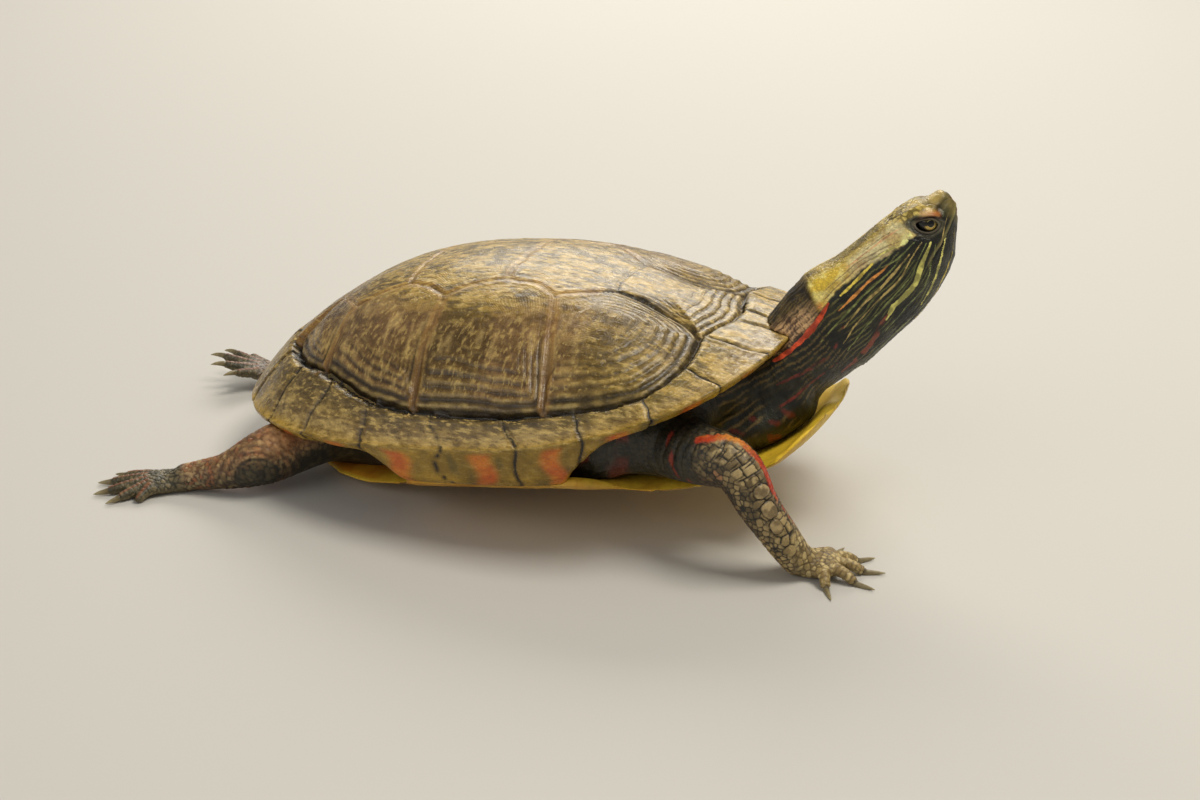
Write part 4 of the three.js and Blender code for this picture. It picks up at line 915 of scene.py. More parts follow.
def trunk_rings():
    n = 96
    u = np.arange(n) / n * 2 * math.pi
    t = u - 0.08 * np.sin(2 * u)
    rings = [to_floor(at_share(t, 0.03, DOME_H - SHELL_WALL - 0.9))]
    for r in (0.12, 0.26, 0.38, 0.48, 0.56, 0.64, 0.69, 0.735):
        rings.append(to_floor(at_share(t, r, dome_z(t, r) - SHELL_WALL - 1.1)))
    w, d, c, e = bridge_weight(t), dome_z(t, 0.77), np.maximum(np.cos(t), 0), np.maximum(-np.cos(t), 0)
    zf = PLASTRON_Z + 7 * c * c + 2 * e * e
    free = [(0.775, d - 5.2), (0.83 + 0.03 * c, mix(d - 5.2, zf, 0.35)), (0.835 + 0.03 * c, mix(d - 5.2, zf, 0.62)), (0.80, zf + 4.2), (0.70, zf + 1.6)]
    tied = [(0.775, rim_z(t) - 2.5), (0.79, -9), (0.785, -13), (0.76, -16.5), (0.68, -20.4)]
    # drawn in before the thighs, where the lower shell's edge shows
    groin = np.exp(-((np.abs(np.angle(np.exp(1j * t))) - 2.02) / 0.30) ** 2)
    K = [(mix(a[0] + 0 * t, b[0], w) - g * groin, mix(a[1], b[1] + 0 * t, w)) for a, b, g in zip(free, tied, (0.03, 0.13, 0.19, 0.20, 0.13))]
    pr = [(0.735 + 0 * t, dome_z(t, 0.735) - SHELL_WALL - 1.1)] + K + [(0.5 + 0 * t, PLASTRON_Z + 1.6 + 0 * t)]
    for i in range(len(pr) - 2):
        for f in (0.5, 1.0):
            A, B, C_, D_ = pr[max(i - 1, 0)], pr[i], pr[i + 1], pr[min(i + 2, len(pr) - 1)]
            rings.append(to_floor(at_share(t, cubic(A[0], B[0], C_[0], D_[0], f), cubic(A[1], B[1], C_[1], D_[1], f))))
    rings.append(to_floor(at_share(t, 0.03, PLASTRON_Z + 1.6)))
    return rings


def neck_rings(n=72):
    us = np.linspace(0, 3, 40)
    S = stations(NECK_ROOT, us)
    d, up, side = frames(S)
    t = np.arange(n) / n * 2 * math.pi
    rings = [S[0, :3] - d[0] * 2.5 + 0.7 * (side[0] * S[0, 3] * np.cos(t)[:, None] + up[0] * S[0, 4] * np.sin(t)[:, None])]
    for i in range(len(us) - 1):
        rings.append(S[i, :3] + side[i] * S[i, 3] * np.cos(t)[:, None] + up[i] * S[i, 4] * np.sin(t)[:, None])
    for f in np.concatenate([np.arange(-34, 5, 0.75), [5.5, 6.0, 6.5, 7.0, 7.4, 7.7, 7.9, 8.05]]):
        k = 1 if f <= 7.6 else math.sqrt(max(0.02, 1 - ((f - 7.6) / 0.5) ** 2))
        ring = head_ring(min(f, 7.6), n)
        c = head_point(f, -0.9, 0)
        rings.append(c + (ring - head_point(min(f, 7.6), -0.9, 0)) * k)
    return rings


def flesh_field(shell_parts):
    F = Field((-113, -79, -7), (117, 85, 92))
    F.join(field_of(*tube(trunk_rings())))
    F.join(field_of(*tube(limb_rings(BREAST, 0, 3, 30, 40, round1=3.0))), 3.0)
    F.join(field_of(*tube(neck_rings())), 5.0)
    F.join(field_of(*tube(limb_rings(TAIL, 0, 4, 30, 24, round1=1.8))), 4.0)
    for name, leg in LEGS.items():
        p, r = leg["palm"], leg["toe_r"]
        F.join(field_of(*tube(limb_rings(leg["keys"], 0, 5, 46, 32, round0=3.0, round1=2.0))), 5.0 if "fore" in name else 4.5)
        foot = Field(np.array(p["at"]) - 24, np.array(p["at"]) + 24)
        foot.join(field_of(*tube([place_foot(p, q) for q in limb_rings(palm_keys(p), 0, 2, 14, 28, round0=1.2, round1=1.6)])))
        toes = leg["toes"] + ([leg["fifth"]] if leg["fifth"] else [])
        for t in toes:
            k = toe_keys(t, p, r)
            foot.join(field_of(*tube([place_foot(p, q) for q in limb_rings(k, 0, 3, 16, 20, round1=1.0 if t is leg["fifth"] else 0.35)])), 1.4)
        if leg["web"]:
            for A, B in zip(sorted(toes)[:-1], sorted(toes)[1:]):
                a, b = toe_keys(A, p, r), toe_keys(B, p, r)
                rows = []
                for s in np.linspace(0.15, 1, 12):
                    pa, pb = stations(a, [2.25 * s])[0, :3], stations(b, [2.25 * s])[0, :3]
                    c, half = (pa + pb) / 2 * (1 - 0.10 * s ** 3), np.linalg.norm(pb - pa) / 2
                    along, side = unit(c), unit(pb - pa)
                    th = np.arange(20) / 20 * 2 * math.pi
                    rows.append(place_foot(p, c + side * (half * np.cos(th))[:, None] + np.array([0, 0, 1]) * (0.62 * spow(np.sin(th), 0.6))[:, None] - np.array([0, 0, 0.25])))
                foot.join(field_of(*tube(rows)), 0.9)
        F.join((foot.lo, foot.a), 2.2)
    for part in shell_parts:
        F.cut(part, 0.16)
    zz = ((np.arange(F.n[2]) + F.lo[2]) * VOX).astype(np.float32)
    F.a = np.maximum(F.a, 0.0 - zz[None, None, :])
    return F


def fans(faces):
    out = []
    for f in faces:
        for i in range(1, len(f) - 1):
            out.append((f[0], f[i], f[i + 1]))
    return np.array(out)


def largest(n, quads):
    """Vertex mask of the piece with the most vertices."""
    lab = np.arange(n)
    E = np.concatenate([quads[:, [0, 1]], quads[:, [1, 2]], quads[:, [2, 3]]])
    for _ in range(400):
        m = np.minimum(lab[E[:, 0]], lab[E[:, 1]])
        new = lab.copy()
        np.minimum.at(new, E[:, 0], m)
        np.minimum.at(new, E[:, 1], m)
        new = new[new]
        if (new == lab).all():
            break
        lab = new
    big = np.argmax(np.bincount(lab, minlength=n))
    return lab == big


def refine(P, quads, others, mask):
    """Splits the quads in mask into four; their neighbours take the new corners too."""
    sel = quads[mask]
    rest = quads[~mask]
    key = lambda a, b: np.minimum(a, b).astype(np.int64) * (1 << 32) + np.maximum(a, b)
    ek = np.concatenate([key(sel[:, i], sel[:, (i + 1) % 4]) for i in range(4)])
    uk, inv = np.unique(ek, return_inverse=True)
    mids = (P[(uk >> 32).astype(int)] + P[(uk & 0xFFFFFFFF).astype(int)]) / 2
    m0 = len(P)
    c0 = m0 + len(uk)
    cent = P[sel].mean(1)
    P2 = np.vstack([P, mids, cent])
    M = (inv + m0).reshape(4, -1).T
    C_ = c0 + np.arange(len(sel))
    new = np.concatenate([np.stack([sel[:, i], M[:, i], C_, M[:, (i + 3) % 4]], 1) for i in range(4)])

    def lookup(a, b):
        k = key(a, b)
        j = np.searchsorted(uk, k)
        j = np.clip(j, 0, len(uk) - 1)
        return np.where(uk[j] == k, j + m0, -1)
    rm = np.stack([lookup(rest[:, i], rest[:, (i + 1) % 4]) for i in range(4)], 1)
    touched = (rm >= 0).any(1)
    more = []
    for q, m in zip(rest[touched].tolist(), rm[touched].tolist()):
        f = []
        for a, b in zip(q, m):
            f.append(a)
            if b >= 0:
                f.append(b)
        more.append(f)
    kept = []
    for f in others:
        n = len(f)
        arr = np.array(f)
        j = lookup(arr, np.roll(arr, -1))
        if (j >= 0).any():
            g = []
            for a, b in zip(f, j.tolist()):
                g.append(a)
                if b >= 0:
                    g.append(b)
            kept.append(g)
        else:
            kept.append(f)
    return P2, np.vstack([rest[~touched], new]), kept + more


def limb_axis(keys, n=60):
    us = np.linspace(0, len(keys) - 1, n)
    S = stations(keys, us)
    d, up, side = frames(S)
    s = np.concatenate([[0], np.cumsum(np.linalg.norm(np.diff(S[:, :3], axis=0), axis=1))])
    return dict(at=S[:, :3], d=d, up=up, side=side, s=s, a=S[:, 3], b=S[:, 4])


def neck_axis():
    us = np.linspace(0, 3, 46)
    S = stations(NECK_ROOT, us)
    d, up, side = (v[:-1] for v in frames(S))
    S = S[:-1]
    fs = np.arange(-34, 8.01, 0.5)
    pr = profile_at(fs)
    n = len(fs)
    at = np.vstack([S[:, :3], head_point(fs, (pr[:, 0] + pr[:, 1]) / 2, 0 * fs)])
    ln = np.linalg.norm(np.diff(at[:len(S) + 1], axis=0), axis=1)
    return dict(at=at, d=np.vstack([d, np.tile(HEAD_F, (n, 1))]), up=np.vstack([up, np.tile(HEAD_U, (n, 1))]), side=np.vstack([side, np.tile(HEAD_R, (n, 1))]),
                s=np.concatenate([-34 - np.cumsum(ln[::-1])[::-1], fs]), a=np.concatenate([S[:, 3], pr[:, 2]]), b=np.concatenate([S[:, 4], (pr[:, 0] - pr[:, 1]) / 2]))


def along(ax, P):
    """(length along, angle from the upper side, share of the radius, radius) of points about a limb's axis."""
    out = []
    for c in range(0, len(P), 20000):
        q = P[c:c + 20000]
        D = ((q[:, None] - ax["at"][None]) ** 2).sum(-1)
        i = D.argmin(1)
        v = q - ax["at"][i]
        t = np.sum(v * ax["d"][i], 1)
        j = np.clip(i + np.where(t > 0, 1, -1), 0, len(ax["s"]) - 1)
        gap = np.linalg.norm(ax["at"][j] - ax["at"][i], axis=1) + 1e-9
        w = np.clip(np.abs(t) / gap, 0, 1)
        mixed = lambda k: ax[k][i] * (1 - w)[:, None] + ax[k][j] * w[:, None] if ax[k].ndim == 2 else ax[k][i] * (1 - w) + ax[k][j] * w
        at, up, side, a, b, s = (mixed(k) for k in ("at", "up", "side", "a", "b", "s"))
        v = q - at
        x, y = np.sum(v * side, 1), np.sum(v * up, 1)
        out.append(np.stack([s, np.arctan2(x, y), np.sqrt((x / a) ** 2 + (y / b) ** 2 + (np.sum(v * ax["d"][i], 1) / np.maximum(a, b)) ** 2), np.hypot(x, y)], 1))
    return np.concatenate(out).T


def path_dist(s, y, path):
    """Distance of (s, y) points to a path, and how far along it, 0 to 1."""
    p = np.asarray(path, float)
    ln = np.concatenate([[0], np.cumsum(np.linalg.norm(np.diff(p, axis=0), axis=1))])
    best = np.full(len(s), 1e9)
    pos = np.zeros(len(s))
    for i in range(len(p) - 1):
        a, e = p[i], p[i + 1] - p[i]
        t = np.clip(((s - a[0]) * e[0] + (y - a[1]) * e[1]) / max(e @ e, 1e-9), 0, 1)
        d = np.hypot(s - a[0] - t * e[0], y - a[1] - t * e[1])
        near = d < best
        best = np.where(near, d, best)
        pos = np.where(near, (ln[i] + t * (ln[i + 1] - ln[i])) / ln[-1], pos)
    return best, pos
# ------------------------------------------------------------------ meshes
def new_piece(name, co, faces, col=None, attrs=None):
    me = bpy.data.meshes.new(name)
    me.from_pydata(((np.asarray(co, float) + OFFSET) / 1000).tolist(), [], faces)
    me.polygons.foreach_set("use_smooth", np.ones(len(me.polygons), bool))
    if col is not None:
        a = me.color_attributes.new("Col", "FLOAT_COLOR", "POINT")
        a.data.foreach_set("color", np.hstack([col, np.ones((len(col), 1))]).astype(np.float32).ravel())
    for k, v in (attrs or {}).items():
        v = np.asarray(v, np.float32)
        if v.ndim == 2:
            me.attributes.new(k, "FLOAT_VECTOR", "POINT").data.foreach_set("vector", v.ravel())
        else:
            me.attributes.new(k, "FLOAT", "POINT").data.foreach_set("value", v)
    me.update()
    o = bpy.data.objects.new(name, me)
    bpy.context.scene.collection.objects.link(o)
    return o


# ------------------------------------------------------------------ materials
class Nodes:
    """A small helper for building node trees."""

    def __init__(self, name):
        self.mat = bpy.data.materials.new(name)
        self.mat.use_nodes = True
        self.t = self.mat.node_tree
        self.t.nodes.clear()
        self.out = self.t.nodes.new("ShaderNodeOutputMaterial")
        self.bsdf = self.t.nodes.new("ShaderNodeBsdfPrincipled")
        self.t.links.new(self.bsdf.outputs[0], self.out.inputs[0])
        self._obj = None

    def put(self, socket, v):
        if isinstance(v, bpy.types.NodeSocket):
            self.t.links.new(v, socket)
        else:
            socket.default_value = v

    def set(self, **kw):
        for k, v in kw.items():
            self.put(self.bsdf.inputs[k.replace("_", " ")], v)

    def attr(self, name, out="Fac"):
        n = self.t.nodes.new("ShaderNodeAttribute")
        n.attribute_name = name
        return n.outputs[out]

    def obj(self, scale=(1, 1, 1)):
        if self._obj is None:
            self._obj = self.t.nodes.new("ShaderNodeTexCoord").outputs["Object"]
        if tuple(scale) == (1, 1, 1):
            return self._obj
        m = self.t.nodes.new("ShaderNodeVectorMath")
        m.operation = "MULTIPLY"
        self.t.links.new(self._obj, m.inputs[0])
        m.inputs[1].default_value = scale
        return m.outputs[0]

    def noise(self, scale, detail=3, rough=0.55, vec=None, distort=0.0):
        n = self.t.nodes.new("ShaderNodeTexNoise")
        self.t.links.new(vec if vec is not None else self.obj(), n.inputs["Vector"])
        n.inputs["Scale"].default_value = scale
        n.inputs["Detail"].default_value = detail
        n.inputs["Roughness"].default_value = rough
        n.inputs["Distortion"].default_value = distort
        return n.outputs["Fac"]

    def voronoi(self, scale, feature="F1", vec=None, out="Distance"):
        n = self.t.nodes.new("ShaderNodeTexVoronoi")
        n.feature = feature
        self.t.links.new(vec if vec is not None else self.obj(), n.inputs["Vector"])
        n.inputs["Scale"].default_value = scale
        return n.outputs[out]

    def math(self, op, a, b=0.0, c=0.0, clamp=False):
        n = self.t.nodes.new("ShaderNodeMath")
        n.operation = op
        n.use_clamp = clamp
        self.put(n.inputs[0], a)
        self.put(n.inputs[1], b)
        self.put(n.inputs[2], c)
        return n.outputs[0]

    def ramp(self, v, a, b, lo=0.0, hi=1.0):
        n = self.t.nodes.new("ShaderNodeMapRange")
        n.interpolation_type = "SMOOTHSTEP"
        self.put(n.inputs["Value"], v)
        n.inputs["From Min"].default_value = a
        n.inputs["From Max"].default_value = b
        n.inputs["To Min"].default_value = lo
        n.inputs["To Max"].default_value = hi
        return n.outputs["Result"]

    def mix(self, fac, a, b, mode="MIX"):
        n = self.t.nodes.new("ShaderNodeMix")
        n.data_type = "RGBA"
        n.blend_type = mode
        col = lambda v: v if isinstance(v, bpy.types.NodeSocket) else (*v, 1.0)
        self.put(n.inputs["Factor"], fac)
        self.put(n.inputs["A"] if False else n.inputs[6], col(a))
        self.put(n.inputs[7], col(b))
        return n.outputs[2]

    def bump(self, height, strength, distance=0.001, normal=None):
        n = self.t.nodes.new("ShaderNodeBump")
        n.inputs["Strength"].default_value = strength
        n.inputs["Distance"].default_value = distance
        self.put(n.inputs["Height"], height)
        if normal is not None:
            self.put(n.inputs["Normal"], normal)
        return n.outputs[0]


def carapace_material():
    m = Nodes("carapace")
    col = m.attr("Col", "Color")
    lat = m.attr("lat")
    along = m.noise(1000, 4, 0.62, m.obj((0.32, 1, 1)))
    down = m.noise(900, 4, 0.62, m.obj((1, 0.5, 0.32)))
    grain = m.math("ADD", m.math("MULTIPLY", along, m.math("SUBTRACT", 1.0, lat)), m.math("MULTIPLY", down, lat))
    n2 = m.noise(2600, 3, 0.6)
    calm = m.math("SUBTRACT", 1.0, m.attr("quiet"))
    col = m.mix(m.math("MULTIPLY", m.ramp(grain, 0.525, 0.635, 0.0, 0.56), calm), col, tuple(srgb(240, 206, 124)))
    col = m.mix(m.math("MULTIPLY", m.ramp(grain, 0.365, 0.465, 0.50, 0.0), calm), col, tuple(srgb(62, 46, 22)))
    col = m.mix(m.ramp(n2, 0.40, 0.60, 0.35, 0.0), col, m.mix(1.0, col, (0.52, 0.48, 0.40), "MULTIPLY"))
    seam = m.math("ADD", m.attr("seam"), m.math("MULTIPLY", m.math("SUBTRACT", m.noise(900, 4, 0.65), 0.5), 0.34))
    col = m.mix(m.math("MULTIPLY", m.ramp(seam, 0.36, 0.20, 0.0, 0.92), m.attr("sdark")), col, tuple(srgb(24, 17, 8)))
    ring = m.attr("ring")
    fine = m.math("SINE", m.math("ADD", m.math("MULTIPLY", ring, 9.0), m.math("MULTIPLY", m.noise(420, 3), 9.0)))
    b1 = m.bump(m.noise(700, 5, 0.6), 0.35, 0.0006)
    b2 = m.bump(fine, 0.10, 0.0004, b1)
    b3 = m.bump(grain, 0.30, 0.0004, b2)
    gloss = m.attr("gloss")
    rough = m.math("ADD", m.ramp(m.noise(600, 4, 0.6), 0.35, 0.7, 0.30, 0.50), m.math("MULTIPLY", gloss, -0.10))
    m.set(Base_Color=col, Roughness=rough, Normal=b3, Specular_IOR_Level=0.42, Coat_Weight=0.15, Coat_Roughness=0.22)
    return m.mat


def plastron_material():
    m = Nodes("plastron")
    col = m.attr("Col", "Color")
    n1 = m.noise(500, 5, 0.6)
    col = m.mix(m.ramp(n1, 0.50, 0.70, 0.0, 0.35), col, tuple(srgb(184, 122, 44)))
    col = m.mix(m.ramp(m.noise(1700, 3), 0.35, 0.5, 0.12, 0.0), col, tuple(srgb(140, 96, 40)))
    b1 = m.bump(m.noise(600, 5, 0.6), 0.25, 0.0005)
    b2 = m.bump(m.noise(2600, 3, 0.6), 0.15, 0.0002, b1)
    m.set(Base_Color=col, Roughness=m.ramp(n1, 0.3, 0.7, 0.40, 0.55), Normal=b2, Specular_IOR_Level=0.22, Coat_Weight=0.06, Coat_Roughness=0.22)
    return m.mat


def plain(name, c, rough):
    m = Nodes(name)
    m.set(Base_Color=(*c, 1.0), Roughness=rough)
    return m.mat

# ------------------------------------------------------------------ shell pieces
co, faces, col, attrs = build_carapace()
shell_keep = (co, faces)
carapace = new_piece("shell_upper", co, faces, col, attrs)
carapace.data.materials.append(carapace_material())
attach(carapace, "root"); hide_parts("carapace")

co, faces, col, attrs = build_plastron()
co[:, 2] = np.maximum(co[:, 2], 0.0)
plastron_keep = (co, faces)
plastron = new_piece("shell_lower", co, faces, col, attrs)
plastron.data.materials.append(plastron_material())
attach(plastron, "root"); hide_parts("plastron")

# ------------------------------------------------------------------ one skin over all flesh
def near_box(P, pts, pad):
    lo, hi = np.min(pts, 0) - pad, np.max(pts, 0) + pad
    return np.where(((P > lo) & (P < hi)).all(1))[0]


def skin_mesh():
    """Closed skin from the joined field, finer where it is looked at most."""
    shell = [field_of(*(lambda c, f: (c, fans(f)))(SHELL_CO, SHELL_FACES), 3), field_of(*(lambda c, f: (c, fans(f)))(PLASTRON_CO, PLASTRON_FACES), 3)]
    F = flesh_field(shell)
    g = openvdb.FloatGrid(float(F.bg))
    g.copyFromArray(F.a, ijk=tuple(int(v) for v in F.lo))
    g.transform = openvdb.createLinearTransform(voxelSize=VOX)
    P, Q = g.convertToQuads(isovalue=0.0)
    P, Q = np.asarray(P, float), np.asarray(Q).astype(np.int64)
    keep = largest(len(P), Q)
    Q = Q[keep[Q].all(1)]
    used = np.unique(Q)
    new = np.full(len(P), -1)
    new[used] = np.arange(len(used))
    P, Q = P[used], new[Q]
    a, b, c, d = (P[Q[:, i]] for i in range(4))
    if np.sum(np.cross(c - a, d - b) * ((a + c) / 2)) < 0:
        Q = Q[:, ::-1]
    # hidden inside the shell: thinned out
    S = to_shell(P)
    inside = np.zeros(len(P), bool)
    tt = np.arctan2(-S[:, 1], S[:, 0])
    x, y = rim_xy(np.linspace(-math.pi, math.pi, 721))
    A = np.arctan2(y, x - APEX_X)
    o = np.argsort(A)
    R = np.interp(np.arctan2(S[:, 1], S[:, 0] - APEX_X), A[o], np.hypot(x - APEX_X, y)[o], period=2 * math.pi)
    share = np.hypot(S[:, 0] - APEX_X, S[:, 1]) / R
    hx = smooth(46, 40, S[:, 0]) * smooth(-46, -40, S[:, 0])
    hide = np.where(S[:, 2] > 4, smooth(0.74, 0.70, share), hx * smooth(0.99, 0.97, share))
    hide = np.maximum(hide, smooth(0.74, 0.70, share) * (S[:, 2] > -2))
    under_p = (np.abs(S[:, 1]) < plastron_half(S[:, 0]) - 5) & (S[:, 0] > -58) & (S[:, 0] < 60) & (S[:, 2] < -8) & (P[:, 2] < 26)
    hide = np.where(under_p, np.maximum(hide, hx), hide)
    me = bpy.data.meshes.new("t")
    me.from_pydata(P.tolist(), [], Q.tolist())
    o = bpy.data.objects.new("t", me)
    bpy.context.scene.collection.objects.link(o)
    vg = o.vertex_groups.new(name="hide")
    idx = np.where(hide > 0.9)[0]
    vg.add(idx.tolist(), 1.0, "REPLACE")
    frac = len(idx) / len(P)
    m = o.modifiers.new("thin", "DECIMATE")
    m.ratio = 1 - 0.93 * frac
    m.vertex_group = "hide"
    dg = bpy.context.evaluated_depsgraph_get()
    ev = o.evaluated_get(dg).to_mesh()
    n = len(ev.vertices)
    P = np.empty(n * 3)
    ev.vertices.foreach_get("co", P)
    P = P.reshape(-1, 3).astype(float)
    tot = np.empty(len(ev.polygons), int)
    ev.polygons.foreach_get("loop_total", tot)
    lv = np.empty(len(ev.loops), int)
    ev.loops.foreach_get("vertex_index", lv)
    st = np.concatenate([[0], np.cumsum(tot)[:-1]])
    quads = lv[st[tot == 4][:, None] + np.arange(4)]
    others = [lv[s:s + t].tolist() for s, t in zip(st[tot != 4], tot[tot != 4])]
    o.evaluated_get(dg).to_mesh_clear()
    bpy.data.objects.remove(o)
    bpy.data.meshes.remove(me)

    def level(test):
        nonlocal P, quads, others
        m = test(P)[quads].all(1)
        n0 = len(P)
        P, quads, others = refine(P, quads, others, m)
        for _ in range(2):
            nn = F.normal(P[n0:])
            P[n0:] -= nn * F.sample(P[n0:])[:, None]

    def head_zone(P):
        f, u, r = head_frame(P)
        return (f > -36) & (f < 14) & (np.abs(r) < 15) & (u > -27) & (u < 12)

    def fine_zone(P):
        f, u, r = head_frame(P)
        eye = (np.abs(f) < 5.2) & (u > -4.6) & (u < 5)
        face = (f > -6.5) & (u > -10) & (u < 6)
        return (np.abs(r) < 14) & (eye | (f > 4.6) | (face & (np.abs(u - mouth_line(f)) < 1.6)))

    def leg_zone(P):
        m = (P[:, 0] > 66) & (P[:, 1] < -24) & (P[:, 2] < 34)
        m |= (P[:, 2] < 12) & (P[:, 1] > 50) & (P[:, 0] > 30)
        m |= (P[:, 0] < -80) & (P[:, 1] > 8)
        m |= (P[:, 0] < -72) & (P[:, 1] < -45)
        return m
    level(head_zone)
    level(fine_zone)
    level(leg_zone)
    return F, P, quads, others


def mouth_line(f):
    return np.interp(f, [-6.4, -5.6, -4.5, -3, 0, 3, 5, 7, 7.9], [-9.3, -8.2, -7.5, -6.9, -6.0, -4.9, -4.0, -3.0, -2.3])


def eye_axes(s):
    E = head_point(EYE_F, EYE_U, s * EYE_OUT)
    g = unit(HEAD_F * 0.22 + HEAD_R * s)
    v, w = HEAD_F * 0.80 - HEAD_U * 0.60, HEAD_F * 0.60 + HEAD_U * 0.80
    t1 = unit(v - g * (v @ g))
    t2 = unit(w - g * (w @ g) - t1 * (w @ t1))
    return E, g, t1, t2


def lid_measure(a, b):
    """1 on the edge of the opening between the lids, more outside."""
    a, b = a + 0.72, b + 0.42
    A = np.where(a > 0, 2.45, 2.62)
    B = np.where(b > 0, 1.50, 1.62)
    return np.sqrt((np.abs(a) / A) ** 2 + (np.abs(b) / B) ** 2 + 0.35 * (np.abs(a) / A) ** 2 * (np.abs(b) / B) ** 2)


def shape_eyes(P):
    P = P.copy()
    e_out = np.full(len(P), 9.0)
    up_out = np.zeros(len(P))
    for s in (1, -1):
        E, g, t1, t2 = eye_axes(s)
        q = P - E
        a, b, c = q @ t1, q @ t2, q @ g
        rho = np.hypot(a, b)
        z = np.where((rho < 6.5) & (c > -0.8) & (c < 7))[0]
        a, b, c, rho = a[z], b[z], c[z], rho[z]
        e = lid_measure(a, b)
        RL = EYE_R + 0.46
        dome_ = np.sqrt(np.maximum(RL ** 2 - rho ** 2, 0)) - 0.25 * smooth(2.6, 3.6, rho)
        k = 0.9
        h = np.maximum(k - np.abs(c - dome_), 0) / k
        c1 = np.where(rho < 4.4, np.maximum(c, dome_) + h * h * k * 0.25, c)
        wob = 0.05 * np.sin(a * 2.3 + 1) + 0.04 * np.sin(a * 5.1)
        up = smooth(-0.6, 0.1, b)
        c1 += 0.13 * np.exp(-((e - 1.15) / 0.09) ** 2)
        c1 -= 0.24 * up * np.exp(-((e - 1.46 - wob) / 0.10) ** 2)
        c1 += 0.20 * up * np.exp(-((e - 1.78) / 0.22) ** 2)
        c1 -= (1 - up) * (0.16 * np.exp(-((e - 1.42 - wob) / 0.09) ** 2) + 0.12 * np.exp(-((e - 1.70 + wob) / 0.09) ** 2) + 0.08 * np.exp(-((e - 1.98 - wob) / 0.10) ** 2))
        # brow over the eye
        c1 += 0.50 * np.exp(-((b - 2.55 + 0.06 * a * a) / 0.80) ** 2) * smooth(4.4, 1.8, np.abs(a - 0.1)) * smooth(-0.5, 0.5, c)
        c1 -= 0.22 * np.exp(-((b - 1.62 + 0.07 * a * a) / 0.22) ** 2) * smooth(3.4, 1.8, np.abs(a + 0.2))
        ball = np.sqrt(np.maximum(EYE_R ** 2 - rho ** 2, 0.2))
        w = smooth(1.03, 0.88, e)
        c1 = np.where(e < 1.1, mix(c1, ball - 0.75, w), c1)
        P[z] = E + t1 * a[:, None] + t2 * b[:, None] + g * c1[:, None]
        e_out[z] = np.minimum(e_out[z], e)
        up_out[z] = b
    return P, e_out, up_out


